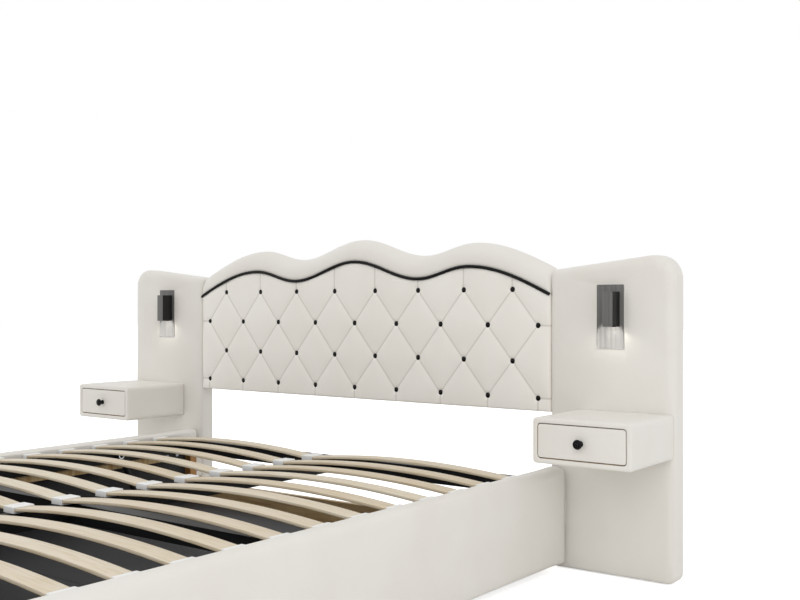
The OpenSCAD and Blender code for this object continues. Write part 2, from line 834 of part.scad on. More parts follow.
module rail_head_brackets() {
    color("#2A2C2F")
    for (side = sides)
        on_side(side)
            difference() {
                union() {
                    block([rail_x - bracket_t, face_y - head_bracket_l, bracket_z[0]],
                        [rail_x, face_y, bracket_z[1]]);
                    block([rail_x - bracket_t, face_y - bracket_t, bracket_z[0]],
                        [rail_x + wing_bolt_out + bracket_side, face_y, bracket_z[1]]);
                }
                side_rail_holes_wide();
                wing_bolt_holes();
            }
}

// The side bolts' holes through a bracket's plate
module side_rail_holes_wide() {
    for (p = rail_side_bolts)
        bar_x(rail_x - bracket_t - 1, rail_x + 1, p[0], p[1], bolt_r + hole_play);
}

module foot_corner_brackets() {
    color("#2A2C2F")
    for (side = sides)
        on_side(side)
            difference() {
                union() {
                    block([rail_x - bracket_t, foot_y, bracket_z[0]],
                        [rail_x, foot_y + head_bracket_l, bracket_z[1]]);
                    block([rail_x - head_bracket_l, foot_y, bracket_z[0]],
                        [rail_x, foot_y + bracket_t, bracket_z[1]]);
                }
                side_rail_holes_wide();
                for (p = foot_rail_bolts)
                    bar_y(foot_y - 1, foot_y + bracket_t + 1, p[0], p[1], bolt_r + hole_play);
            }
}

module rail_bolts() {
    color("#8A8D90")
    for (side = sides)
        on_side(side) {
            for (p = rail_side_bolts)
                translate([rail_x - bracket_t, p[0], p[1]]) rotate([0, 90, 0])
                    hex_bolt(rail_bolt_l);
            for (p = foot_rail_bolts)
                translate([p[0], foot_y + bracket_t, p[1]]) rotate([90, 0, 0])
                    hex_bolt(rail_bolt_l);
        }
}

// ---- storage box --------------------------------------------------------------------------

post_y = face_y - head_bracket_l - post_w;

module head_crossboard() {
    color("#8A5A34")
    block([-rail_x, face_y - head_bracket_l, floor_gap],
        [rail_x, face_y - head_bracket_l + crossboard_t, floor_gap + crossboard_h]);
}

module corner_posts() {
    color("#C08A4A")
    for (side = sides)
        on_side(side)
            block([rail_x - post_w, post_y, floor_gap],
                [rail_x, post_y + post_w, post_top]);
}

bearer_end_gap = 10;
bearer_y = [for (k = [0:bearer_count - 1])
    foot_y + bearer_end_gap
        + k * (post_y - foot_y - 2 * bearer_end_gap - bearer_w) / (bearer_count - 1)];

module floor_bearers() {
    color("#B98C55")
    for (y = bearer_y)
        block([-rail_x, y, floor_gap], [rail_x, y + bearer_w, floor_z]);
}

panel_gap = 2;

module floor_panels() {
    middle = (foot_y + post_y) / 2;
    color("#34363A")
    for (half = [[foot_y, middle - panel_gap / 2], [middle + panel_gap / 2, post_y]])
        block([-rail_x, half[0], floor_z], [rail_x, half[1], floor_top]);
}

rail_feet = [0.06, 0.38, 0.7];  // places of the feet along a side rail, in lengths of the box

module feet() {
    color("#1E1E20") {
        for (side = sides, k = rail_feet)
            translate([side * (rail_x + rail_t / 2), foot_out_y + k * inner_l, 0])
                cylinder(h = floor_gap, r = foot_r);
        for (y = bearer_y)
            translate([0, y + bearer_w / 2, 0]) cylinder(h = floor_gap, r = foot_r);
    }
}

rest_top = tube_z - seat;
rest_hinge_gap = 60;    // from the hinge pin to the end of the battens
rest_bracket_gap = 10;  // from the foot brackets to their start
rest_end_y = face_y - pivot_back - rest_hinge_gap;

module rest_battens() {
    color("#C8A26A")
    for (side = sides)
        on_side(side)
            block([rail_x - rest_w, foot_y + head_bracket_l + rest_bracket_gap, rest_top - rest_w],
                [rail_x, rest_end_y, rest_top]);
}

// ---- lift hardware ------------------------------------------------------------------------

shoulder = 3;  // how much wider a pin's collar is than the pin, and its head's thickness
strut_x = tube_in_x - 2 * eye_t;
deck_stud_y = pivot_y - strut_arm;

module hinge_brackets() {
    color("#2A2C2F")
    for (side = sides)
        on_side(side) {
            difference() {
                block([rail_x - bracket_t, pivot_y - plate_half, pivot_z - plate_below],
                    [rail_x, pivot_y + plate_half, pivot_z + plate_above]);
                side_rail_holes_wide();
            }
            bar_x(tube_out_x + seat, rail_x - bracket_t, pivot_y, pivot_z, pin_r + shoulder);
            bar_x(tube_in_x - seat, tube_out_x + seat, pivot_y, pivot_z, pin_r);
            bar_x(tube_in_x - seat - shoulder, tube_in_x - seat, pivot_y, pivot_z, pin_r + shoulder);
        }
}

module strut_stud(root_x) {
    bar_x(strut_x + eye_t / 2 + seat, root_x, 0, 0, stud_r + shoulder);
    bar_x(strut_x - eye_t / 2 - 1, strut_x + eye_t / 2 + seat, 0, 0, stud_r);
}

module strut_brackets() {
    color("#2A2C2F")
    for (side = sides)
        on_side(side) {
            difference() {
                block([rail_x - bracket_t, strut_foot_y - strut_plate_half,
                        strut_foot_z - strut_plate_below],
                    [rail_x, strut_foot_y + strut_plate_half,
                        strut_foot_z + strut_plate_above]);
                side_rail_holes_wide();
            }
            translate([0, strut_foot_y, strut_foot_z]) strut_stud(rail_x - bracket_t);
        }
}

// A gas strut along +Z from its lower stud; with the deck down it leans towards the foot
strut_rest_l = 2 * strut_arm * sin(strut_angle / 2);
strut_lean = strut_angle / 2;

module at_strut(side) {
    translate([side * strut_x, strut_foot_y, strut_foot_z]) rotate([strut_lean, 0, 0]) children();
}

eye_wall = 5;
rod_eye_wall = 4;
eye_r = stud_r + eye_wall;
rod_eye_r = stud_r + eye_slack + rod_eye_wall;
strut_wall = 2;
strut_stroke = 2 * strut_arm * (sin((strut_angle + lift_angle) / 2) - sin(strut_angle / 2));

// Heights along the closed strut, from its lower stud
strut_neck = 3;   // from the lower eye to the cylinder
piston_rest = 6;  // from the cylinder's end to the piston
tube_start = eye_r + strut_neck;
piston_z = tube_start + piston_rest;
piston_h = 6;
gland_z = piston_z + piston_h + strut_stroke + eye_slack + 2 * strut_wall;
gland_t = 8;
tube_end = gland_z + gland_t;

module strut_eye(outer_r, bore_r) {
    rotate([0, 90, 0]) difference() {
        cylinder(h = eye_t, r = outer_r, center = true);
        cylinder(h = eye_t + 2, r = bore_r, center = true);
    }
}

module strut_cylinder(side) {
    color("#1A1A1C")
    at_strut(side)
        difference() {
            union() {
                strut_eye(eye_r, stud_r + pin_play);
                translate([0, 0, eye_r - 2]) cylinder(h = tube_start - eye_r + 3, r = stud_r);
                translate([0, 0, tube_start]) cylinder(h = tube_end - tube_start, r = strut_r);
            }
            translate([0, 0, tube_start + 2 * strut_wall])
                cylinder(h = gland_z - tube_start - 2 * strut_wall, r = strut_r - strut_wall);
            translate([0, 0, piston_z])
                cylinder(h = tube_end - piston_z + 1, r = rod_r + pin_play);
        }
}

module strut_rod(side) {
    color("#C9CCCF")
    at_strut(side) {
        translate([0, 0, piston_z]) cylinder(h = piston_h, r = strut_r - strut_wall - pin_play);
        translate([0, 0, piston_z + piston_h])
            cylinder(h = strut_rest_l - rod_eye_r + 2 - piston_z - piston_h, r = rod_r);
        translate([0, 0, strut_rest_l]) strut_eye(rod_eye_r, stud_r + eye_slack);
    }
}

// ---- deck ---------------------------------------------------------------------------------

deck_foot_gap = 14;   // from the foot rail to the deck
mid_tube_shift = 10;  // the double tube lies this much towards the foot, between two slats
deck_foot_y = foot_y + deck_foot_gap;
head_tube_y = face_y - head_tube_back - tube_w / 2;
deck_mid_y = (deck_foot_y + head_tube_y + tube_w) / 2 - slat_pitch / 2 - mid_tube_shift;

// All tubes of the deck, drawn in on every side but their open ends
module deck_tubes(wall) {
    low = tube_z + wall;
    high = deck_z - wall;
    over = wall > 0 ? 1 : 0;
    for (x = [-tube_out_x, -tube_w / 2, tube_in_x])
        block([x + wall, deck_foot_y - over, low],
            [x + tube_w - wall, head_tube_y + tube_w + over, high]);
    for (y = [deck_foot_y, deck_mid_y - tube_w, deck_mid_y, head_tube_y])
        block([-tube_out_x + tube_wall, y + wall, low],
            [tube_out_x - tube_wall, y + tube_w - wall, high]);
}

module deck_frame() {
    color("#17181A") {
        difference() {
            deck_tubes(0);
            deck_tubes(tube_wall);
            for (side = sides)
                on_side(side)
                    bar_x(tube_in_x - 1, tube_out_x + 1, pivot_y, pivot_z, pin_r + pin_play);
        }
        for (side = sides)
            on_side(side)
                translate([0, deck_stud_y, pivot_z]) strut_stud(tube_in_x + tube_wall / 2);
    }
}

slat_end_x = tube_in_x + holder_grip;
slat_start_x = 8;  // half the web between the two pockets of a centre holder
slat_chord = slat_end_x - slat_start_x;
slat_radius = (slat_chord * slat_chord / 4 + slat_bow * slat_bow) / (2 * slat_bow);
slat_sweep = 2 * asin(slat_chord / 2 / slat_radius);
// As many slats in each column as the box's length holds
slat_count = floor((inner_l - first_slat - last_slat_room) / slat_pitch) + 1;
slat_y = [for (k = [0:slat_count - 1]) face_y - first_slat - k * slat_pitch];

// A bowed slat, or its holder's pocket when play is given
module bowed_slat(play) {
    translate([(slat_start_x + slat_end_x) / 2, 0,
            deck_z + slat_lift + slat_bow - slat_radius])
        rotate([90, 0, 0]) rotate([0, 0, 90 - slat_sweep / 2])
            rotate_extrude(angle = slat_sweep, $fn = 720)
                translate([slat_radius - play, -slat_w / 2 - play])
                    square([slat_t + 2 * play, slat_w + 2 * play]);
}

module slats(side) {
    color("#D9B98A")
    on_side(side) for (y = slat_y) translate([0, y, 0]) bowed_slat(0);
}

holder_w = slat_w + 2 * holder_wall;
cap_lip = 2;  // reach of a cap beyond the tube's inner side
// A slat bows upwards inside its cap, from its end to the cap's mouth
slat_rise = slat_bow * (1 - pow(1 - 2 * (holder_grip + cap_lip) / slat_chord, 2));
holder_h = slat_lift + slat_t + slat_rise + holder_roof;

module slat_end_caps() {
    color("#F2F2F0")
    for (side = sides, y = slat_y)
        on_side(side) translate([0, y, 0])
            difference() {
                block([tube_in_x - cap_lip, -holder_w / 2, deck_z],
                    [slat_end_x + holder_wall, holder_w / 2, deck_z + holder_h]);
                bowed_slat(seat);
            }
}

module slat_centre_holders() {
    color("#F2F2F0")
    for (y = slat_y)
        translate([0, y, 0])
            difference() {
                block([-slat_start_x - centre_grip, -holder_w / 2, deck_z],
                    [slat_start_x + centre_grip, holder_w / 2, deck_z + holder_h]);
                for (side = sides) on_side(side) bowed_slat(seat);
            }
}

// ---- nightstands --------------------------------------------------------------------------

stand_front_y = face_y - stand_d;
case_front_y = stand_front_y + cover_t;
drawer_back_y = stand_front_y + drawer_front_t;

module at_stand() {
    translate([stand_x, 0, 0]) children();
}

module stand_case() {
    w = stand_w / 2 - cover_t;
    color("#C8A26A")
    difference() {
        at_stand() difference() {
            block([-w, case_front_y, stand_z + cover_t],
                [w, face_y, stand_z + stand_h - cover_t]);
            block([-opening_w / 2, case_front_y - 1, opening_z],
                [opening_w / 2, face_y - case_t, opening_z + opening_h]);
        }
        wing_bolt_holes();
    }
}

module stand_cover() {
    w = stand_w / 2;
    color("#DCD9D2")
    at_stand() difference() {
        along_y(stand_front_y, face_y)
            polygon(rounded(rectangle(-w, stand_z, w, stand_z + stand_h),
                [for (k = [0:3]) stand_round]));
        block([-w + cover_t, case_front_y, stand_z + cover_t],
            [w - cover_t, face_y + 1, stand_z + stand_h - cover_t]);
        block([-opening_w / 2, stand_front_y - 1, opening_z],
            [opening_w / 2, face_y + 1, opening_z + opening_h]);
    }
}

drawer_round = 7;      // radius of the front's corners
knob_screw_r = 2;
screw_head_room = 5;   // radius of the hollow for the knob screw's head, in the drawer box
screw_head_depth = 20;

module drawer_front() {
    w = opening_w / 2 - drawer_gap;
    color("#DCD9D2")
    at_stand() difference() {
        along_y(stand_front_y, drawer_back_y)
            polygon(rounded(rectangle(-w, opening_z + drawer_gap, w,
                opening_z + opening_h - drawer_gap), [for (k = [0:3]) drawer_round]));
        bar_y(stand_front_y - 1, drawer_back_y + 1, 0, stand_mid_z,
            knob_screw_r + hole_play);
    }
}

box_w = opening_w - 2 * runner_space;
box_lift = 7;  // of the drawer box over the case's bottom
box_z = opening_z + box_lift;

module drawer_box() {
    color("#D8C6A6")
    at_stand() difference() {
        block([-box_w / 2, drawer_back_y, box_z],
            [box_w / 2, drawer_back_y + drawer_box_d, box_z + drawer_box_h]);
        block([-box_w / 2 + drawer_side_t, drawer_back_y + drawer_side_t,
                box_z + drawer_bottom_t],
            [box_w / 2 - drawer_side_t, drawer_back_y + drawer_box_d - drawer_side_t,
                box_z + drawer_box_h + 1]);
        bar_y(drawer_back_y - 1, drawer_back_y + screw_head_depth, 0, stand_mid_z,
            screw_head_room);
    }
}

knob_screw_end = 3;  // of the screw behind the drawer front
knob_edge = 3;       // radius of the knob's rounded edge
knob_crown = 4;      // height of that edge
knob_foot_in = 5;    // the knob's foot and neck are narrower than its head by these
knob_neck_in = 6;
knob_head_l = 12;    // length of the flare from the neck to the head

module drawer_knob() {
    color("#101010")
    at_stand() translate([0, stand_front_y, stand_mid_z]) rotate([90, 0, 0])
        rotate_extrude() polygon(concat(
            [[0, -drawer_front_t - knob_screw_end],
                [knob_screw_r, -drawer_front_t - knob_screw_end], [knob_screw_r, 0],
                [knob_r - knob_foot_in, 0], [knob_r - knob_neck_in, knob_l - knob_head_l]],
            [for (k = [0:8])
                [knob_r - knob_edge + knob_edge * cos(k * 11.25),
                    knob_l - knob_crown + knob_crown * sin(k * 11.25)]],
            [[0, knob_l]]));
}

runner_z = box_z + drawer_box_h / 2;
runner_end_gap = 4;  // from a runner to the drawer's front and to the case's back
runner_slack = 2.5;  // from the outer channel to the drawer box
runner_start_y = drawer_back_y + runner_end_gap;
runner_end_y = face_y - case_t - runner_end_gap;

// Half outlines of the two members in X and Z, from the case's inner wall inwards
channel_depth = runner_space - runner_slack;

module case_runners() {
    color("#B5B8BB")
    at_stand() for (s = sides) on_side(s)
        along_y(runner_start_y, runner_end_y) difference() {
            translate([opening_w / 2 - channel_depth, runner_z - runner_h / 2])
                square([channel_depth, runner_h]);
            translate([opening_w / 2 - channel_depth + runner_sheet,
                    runner_z - runner_h / 2 + runner_sheet])
                square([channel_depth - 2 * runner_sheet, runner_h - 2 * runner_sheet]);
            translate([opening_w / 2 - channel_depth - 1,
                    runner_z - runner_h / 2 + runner_sheet + runner_lip])
                square([channel_depth, runner_h - 2 * (runner_sheet + runner_lip)]);
        }
}

module drawer_runners() {
    neck = runner_h / 2 - runner_sheet - runner_lip - runner_play;
    wide = runner_h / 2 - runner_sheet - runner_play;
    in_x = opening_w / 2 - channel_depth + runner_sheet + runner_play;
    color("#C9CCCF")
    at_stand() for (s = sides) on_side(s)
        along_y(runner_start_y, runner_start_y + drawer_travel + runner_hold) {
            translate([box_w / 2, runner_z - neck]) square([in_x + 1 - box_w / 2, 2 * neck]);
            translate([in_x, runner_z - wide])
                square([opening_w / 2 - runner_sheet - runner_play - in_x, 2 * wide]);
        }
}

// ---- reading lamps ------------------------------------------------------------------------

plate_round = 3;
lens_recess = 2;  // of the lens above the housing's lower edge
board_gap = 2;    // from the lens to the circuit board

module at_lamp(side) {
    translate([side * lamp_x, face_y, 0]) children();
}

module lamp_plates() {
    color("#4A4A4A")
    for (side = sides)
        at_lamp(side) along_y(-plate_t, 0)
            polygon(rounded(rectangle(-plate_w / 2, plate_z, plate_w / 2, plate_z + plate_h),
                [for (k = [0:3]) plate_round], 4));
}

// Places something in the lamp's housing, whose back is on the plate
module in_housing(side) {
    at_lamp(side) translate([lamp_shift, -plate_t - lamp_d / 2, lamp_z]) children();
}

module slab(w, d, z0, z1) {
    translate([-w / 2, -d / 2, z0]) cube([w, d, z1 - z0]);
}

module lamp_housings() {
    color("#2C2C2E")
    for (side = sides)
        in_housing(side) difference() {
            slab(lamp_w, lamp_d, 0, lamp_h);
            slab(lamp_w - 2 * lamp_wall, lamp_d - 2 * lamp_wall, -1, lamp_h - lamp_wall);
        }
}

lens_w = lamp_w - 2 * lamp_wall - 2 * hole_play;
lens_d = lamp_d - 2 * lamp_wall - 2 * hole_play;

module lamp_lenses() {
    color("#FFFBEA")
    for (side = sides) in_housing(side) slab(lens_w, lens_d, lens_recess, lens_recess + lens_t);
}

module lamp_boards() {
    board_z = lens_recess + lens_t + board_gap;
    color("#E8E8E8")
    for (side = sides) in_housing(side) slab(lens_w, lens_d, board_z, board_z + led_t);
}

// ---- the nodes ----------------------------------------------------------------------------

headboard_frame();
headboard_pad();
headboard_band();
headboard_piping();
headboard_buttons();
back_dust_cloths();
on_side(-1) wing_frame();  // left_wing_frame
wing_frame();  // right_wing_frame
on_side(-1) wing_pad();  // left_wing_pad
wing_pad();  // right_wing_pad
joining_plates();
joining_screws();
wing_glides();
on_side(-1) rail_board();  // left_rail_board
rail_board();  // right_rail_board
foot_rail_board();
on_side(-1) rail_cover();  // left_rail_cover
rail_cover();  // right_rail_cover
foot_rail_cover();
rail_linings();
rail_head_brackets();
foot_corner_brackets();
rail_bolts();
wing_bolts();
head_crossboard();
corner_posts();
floor_bearers();
floor_panels();
feet();
rest_battens();
hinge_brackets();
strut_brackets();
on_side(-1) stand_case();  // left_stand_case
stand_case();  // right_stand_case
on_side(-1) stand_cover();  // left_stand_cover
stand_cover();  // right_stand_cover
on_side(-1) case_runners();  // left_case_runners
case_runners();  // right_case_runners
lamp_plates();
lamp_housings();
lamp_lenses();
lamp_boards();
deck_frame();
slats(-1);  // left_slats
slats(1);  // right_slats
slat_end_caps();
slat_centre_holders();
strut_cylinder(-1);  // left_strut_cylinder
strut_cylinder(1);  // right_strut_cylinder
strut_rod(-1);  // left_strut_rod
strut_rod(1);  // right_strut_rod
on_side(-1) drawer_front();  // left_drawer_front
drawer_front();  // right_drawer_front
on_side(-1) drawer_box();  // left_drawer_box
drawer_box();  // right_drawer_box
on_side(-1) drawer_runners();  // left_drawer_runners
drawer_runners();  // right_drawer_runners
on_side(-1) drawer_knob();  // left_drawer_knob
drawer_knob();  // right_drawer_knob
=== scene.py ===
"""Dresses the bed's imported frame: padded covers, tufting, slats, lamps, finishes and a studio."""
import json
import math

import bpy
import numpy as np
from bpy.props import FloatProperty, FloatVectorProperty, IntProperty, PointerProperty
from mathutils import Matrix, Vector


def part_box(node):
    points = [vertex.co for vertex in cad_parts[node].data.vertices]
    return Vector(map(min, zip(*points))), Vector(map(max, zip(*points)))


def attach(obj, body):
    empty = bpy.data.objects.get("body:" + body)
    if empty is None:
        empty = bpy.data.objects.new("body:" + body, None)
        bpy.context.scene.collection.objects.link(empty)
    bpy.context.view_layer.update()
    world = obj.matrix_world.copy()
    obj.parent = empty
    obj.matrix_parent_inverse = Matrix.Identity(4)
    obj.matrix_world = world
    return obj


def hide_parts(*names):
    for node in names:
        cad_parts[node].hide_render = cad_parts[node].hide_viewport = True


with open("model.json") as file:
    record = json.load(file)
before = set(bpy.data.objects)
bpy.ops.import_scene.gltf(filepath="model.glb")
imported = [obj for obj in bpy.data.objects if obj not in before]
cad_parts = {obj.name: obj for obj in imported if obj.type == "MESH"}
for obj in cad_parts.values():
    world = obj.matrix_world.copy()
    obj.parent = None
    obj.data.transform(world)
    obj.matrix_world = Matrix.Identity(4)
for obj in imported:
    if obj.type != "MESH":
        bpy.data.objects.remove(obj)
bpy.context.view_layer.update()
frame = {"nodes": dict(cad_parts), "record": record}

bl_info = {
    "name": "Tufted Bed",
    "version": (1, 0, 0),
    "blender": (4, 5, 0),
    "location": "View3D > Sidebar > Bed",
    "description": "Dresses a packed bed frame with covers, slats, lamps and finishes",
    "category": "Object",
}

MM = 0.001
TOUCH = 0.00001     # how near two places are taken as one, in metres
SIM_FRAMES = 20
PRESSURE = 4.0      # of the filling in a cover's cloth simulation
SMOOTH_ANGLE = math.radians(38)
SIDES = ("left", "right")

# Places that the frame gives
FACE_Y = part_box("right_wing_pad")[0].y
BOARD_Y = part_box("headboard_pad")[1].y
BACK_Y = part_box("back_dust_cloths")[1].y
HALF_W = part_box("headboard_pad")[1].x
LOW_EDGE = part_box("headboard_pad")[0].z


# ---- sizes and colours that a user may change ---------------------------------------------------


def linear(code):
    """An sRGB hex value as linear red, green, blue and alpha."""
    parts = [int(code[k:k + 2], 16) / 255 for k in (1, 3, 5)]
    return tuple(part / 12.92 if part <= 0.04045 else ((part + 0.055) / 1.055) ** 2.4
                 for part in parts) + (1.0,)


def length(name, description, millimetres):
    """A length, written in millimetres and kept in metres."""
    return FloatProperty(name=name, description=description, default=millimetres * MM,
                         unit="LENGTH", subtype="DISTANCE", precision=4)


def colour(name, description, code):
    """A colour, written as an sRGB hex value and kept linear."""
    return FloatVectorProperty(name=name, description=description, default=linear(code),
                               size=4, min=0.0, max=1.0, subtype="COLOR")


class HeadboardSizes(bpy.types.PropertyGroup):
    """Tufting, wave and trim of the headboard."""
    button_pitch: length("Button pitch", "Distance between the buttons of one row", 182)
    row_pitch: length("Row pitch", "Distance between the button rows", 111.7)
    first_row: length("First row", "Height of the lowest button row", 510)
    crease_depth: length("Crease depth", "Depth of the creases between buttons", 4.2)
    # half width of the painted shade along a crease
    crease_shade_width: length("Fold width", "Half width of the dark line in a crease", 4)
    button_sink: length("Button sink", "Extra depth of the cover under a button", 9)
    button_radius: length("Button radius", "Radius of a button", 13)
    dimple_radius: length("Dimple radius", "How far round it a button draws the cover in", 7.2)
    crest_middle: length("Middle crest", "Height of the piping at the middle crest", 946)
    valley: length("Valley", "Height of the piping in the valleys", 883)
    crest_side: length("Side crest", "Height of the piping at the side crests", 920)
    wave_end: length("Wave end", "Height of the piping at the wings", 828)
    valley_x: length("Valley place", "Distance of the valleys from the middle", 275)
    crest_side_x: length("Side crest place", "Distance of the side crests from the middle", 470)
    edge_round: length("Edge round", "Radius of the padded edges", 14)
    low_round: length("Low edge round", "Radius of the tufted cover's lower edge", 6)
    piping_radius: length("Piping radius", "Radius of the piping", 5)
    band_height: length("Band height", "Height of the smooth band above the piping", 79)


class PanelSizes(bpy.types.PropertyGroup):
    """Padded wings, rails and nightstands."""
    wing_inner_top: length("Wing inner top", "Height of a wing at the headboard's seam", 903)
    wing_outer_top: length("Wing outer top", "Height of a wing's corner before rounding", 948)
    wing_top_round: length("Wing top round", "Radius of a wing's outer top corner", 78)
    wing_foot_round: length("Wing foot round", "Radius of a wing's outer bottom corner", 28)
    panel_round: length("Panel round", "Radius of a wing's padded front edges", 14)
    rail_round: length("Rail round", "Radius of a rail's outer top edge", 20)
    rail_end_round: length("Rail end round", "Radius of a rail's end beside the wing", 9)
    stand_round: length("Nightstand round", "Radius of a nightstand's edges", 9)
    opening_round: length("Opening round", "Radius of the drawer opening's corners", 9)
    drawer_round: length("Drawer round", "Radius of the drawer front's corners", 7)
    puff: length("Puff", "How far padding may swell in the simulation", 3)


class SlatSizes(bpy.types.PropertyGroup):
    """Bowed slats and their holders."""
    count: IntProperty(name="Count", description="Slats in one column", default=13, min=2, max=20)
    width: length("Width", "Width of a slat", 53)
    thickness: length("Thickness", "Thickness of a slat", 8)
    edge: length("Edge", "Rounding of a slat's long edges", 1.6)
    holder_wall: length("Holder wall", "Wall of the plastic slat holders", 3)
    cap_grip: length("Cap grip", "How far an end cap reaches over its slat", 19)


class Finishes(bpy.types.PropertyGroup):
    """Colours of the bed's materials."""
    leather: colour("Leather", "Cream PU leather", "#E6E3DD")
    leather_shade: colour("Leather shade", "Cream PU leather where it is deeper", "#E3DFD8")
    # painted light: the cream leather made lighter on the tufted cover, against the shade that its
    # creases cast
    tufted: colour("Tufted leather", "Cream PU leather over the tufts", "#F3F0EA")
    tufted_shade: colour("Tufted shade", "The tufts' leather where it is deeper", "#F0ECE5")
    # painted shade: how much the tufted leather is darkened along its creases
    painted_crease_shade: colour("Fold", "How much a crease darkens the leather", "#DDDBD8")
    piping: colour("Piping", "Black PU leather piping", "#0A0A0A")
    gloss: colour("Gloss black", "Buttons and knobs", "#080808")
    slat: colour("Slat", "Birch laminate's face", "#DED3BE")
    slat_grain: colour("Slat grain", "Darker grain of the birch", "#D4C5A9")
    # the laminate's edge tone, and painted shade on the slat's downward faces
    slat_edge_and_shade: colour("Slat edge", "Birch laminate's lower edge", "#CDB48B")
    lamp: colour("Lamp", "Dark grey satin paint of the wall plate", "#6B6A68")
    glow: colour("Glow", "The reading lamps' lens, lit from behind", "#FFF6E2")
    lamp_white: colour("Lamp white", "Light that the reading lamps throw", "#FDFCFA")


def setting(name, description, default, **more):
    """A plain number."""
    return FloatProperty(name=name, description=description, default=default, **more)


class StudioSettings(bpy.types.PropertyGroup):
    """Camera and light."""
    camera_place: FloatVectorProperty(name="Camera", description="Place of the camera", size=3,
                                      default=(2.3227, -1.8033, 0.7963), subtype="TRANSLATION")
    view_direction: FloatVectorProperty(name="View", description="Direction the camera looks in",
                                        size=3, default=(-0.6001, 0.7999, 0.0),
                                        subtype="DIRECTION")
    lens: setting("Lens", "Focal length in millimetres", 47.24)
    shift: setting("Shift", "Vertical shift of the camera", 0.0062)
    room_light: setting("Room light", "Light of the white room", 0.89)
    key_light: setting("Key light", "Power of the large soft lamp", 38.0, unit="POWER")
    lamp_light: setting("Lamp light", "Power of one reading lamp", 0.09, unit="POWER")
    plate_light: setting("Plate light", "Power of the glow on one plate", 19.0, unit="POWER")


# ---- modelling helpers ------------------------------------------------------------------------


def deselect():
    """Leaves edit mode and selects nothing."""
    if bpy.context.object and bpy.context.object.mode != "OBJECT":
        bpy.ops.object.mode_set(mode="OBJECT")
    bpy.ops.object.select_all(action="DESELECT")


def pick(obj):
    """Selects one object alone and makes it active."""
    deselect()
    obj.select_set(True)
    bpy.context.view_layer.objects.active = obj


def box_piece(name, low, high):
    """A block between two corners, with its place in its mesh."""
    deselect()
    low, high = Vector(low), Vector(high)
    bpy.ops.mesh.primitive_cube_add(size=1, location=(low + high) / 2, scale=high - low)
    bpy.ops.object.transform_apply(location=True, rotation=True, scale=True)
    bpy.context.object.name = name
    return bpy.context.object


def on(obj, **where):
    """A test for vertices, edges or faces that lie whole on given coordinates, such as x=0.2."""
    points = obj.data.vertices
    axes = [("xyz".index(axis), value) for axis, value in where.items()]

    def test(item):
        corners = item.vertices if hasattr(item, "vertices") else [item.index]
        return all(abs(points[k].co[axis] - value) < TOUCH for k in corners for axis, value in axes)
    return test


def choose(obj, kind, test):
    """Enters edit mode with only the vertices, edges or faces selected that pass a test."""
    pick(obj)
    bpy.ops.object.mode_set(mode="EDIT")
    bpy.ops.mesh.select_mode(type=kind)
    bpy.ops.mesh.select_all(action="DESELECT")
    bpy.ops.object.mode_set(mode="OBJECT")
    mesh = obj.data
    items = {"VERT": mesh.vertices, "EDGE": mesh.edges, "FACE": mesh.polygons}[kind]
    found = [item for item in items if test(item)]
    if not found:
        raise RuntimeError(f"{obj.name}: nothing passes the selection test")
    for item in found:
        item.select = True
    bpy.ops.object.mode_set(mode="EDIT")


def soften(obj, radius, segments=6, **where):
    """Rounds the edges that lie on given coordinates."""
    choose(obj, "EDGE", on(obj, **where))
    bpy.ops.mesh.bevel(offset=radius, segments=segments, affect="EDGES")
    bpy.ops.object.mode_set(mode="OBJECT")


def soften_corners(obj, low, high, radius, segments):
    """Rounds the four edges along Y of a block between two corners."""
    for x in (low.x, high.x):
        for z in (low.z, high.z):
            soften(obj, radius, segments, x=x, z=z)


def modify(obj, kind, **settings):
    """Adds a modifier with its settings and applies it."""
    pick(obj)
    modifier = obj.modifiers.new(kind.title(), kind)
    for key, value in settings.items():
        setattr(modifier, key, value)
    bpy.ops.object.modifier_apply(modifier=modifier.name)


def refine(obj):
    """Smooths a piece by one level of subdivision."""
    modify(obj, "SUBSURF", levels=1, render_levels=1)


def cut(obj, tool):
    """Cuts a tool's shape out of a piece and removes the tool."""
    modify(obj, "BOOLEAN", operation="DIFFERENCE", solver="EXACT", object=tool)
    bpy.data.objects.remove(tool)


def outwards(obj):
    """Merges doubles and turns all faces outwards."""
    pick(obj)
    bpy.ops.object.mode_set(mode="EDIT")
    bpy.ops.mesh.select_all(action="SELECT")
    bpy.ops.mesh.remove_doubles(threshold=TOUCH)
    bpy.ops.mesh.normals_make_consistent(inside=False)
    bpy.ops.object.mode_set(mode="OBJECT")


def copied(obj, name, move=(0, 0, 0)):
    """A copy with its own mesh, moved within it."""
    twin = obj.copy()
    twin.data = obj.data.copy()
    twin.name = name
    bpy.context.scene.collection.objects.link(twin)
    twin.data.transform(Matrix.Translation(move))
    return twin


def mirrored(obj, name):
    """A copy on the other side of the bed's middle, with its faces outwards again."""
    twin = copied(obj, name)
    twin.data.transform(Matrix.Scale(-1, 4, (1, 0, 0)))
    twin.data.flip_normals()
    return twin


def joined(parts, name):
    """One object made of several."""
    deselect()
    for part in parts:
        part.select_set(True)
    bpy.context.view_layer.objects.active = parts[0]
    bpy.ops.object.join()
    bpy.context.object.name = name
    return bpy.context.object


def repeated(piece, name, places):
    """One object with a copy of a piece at each place; the piece itself is removed."""
    copies = [copied(piece, f"{name}_{k}", place) for k, place in enumerate(places)]
    bpy.data.objects.remove(piece)
    return joined(copies, name)


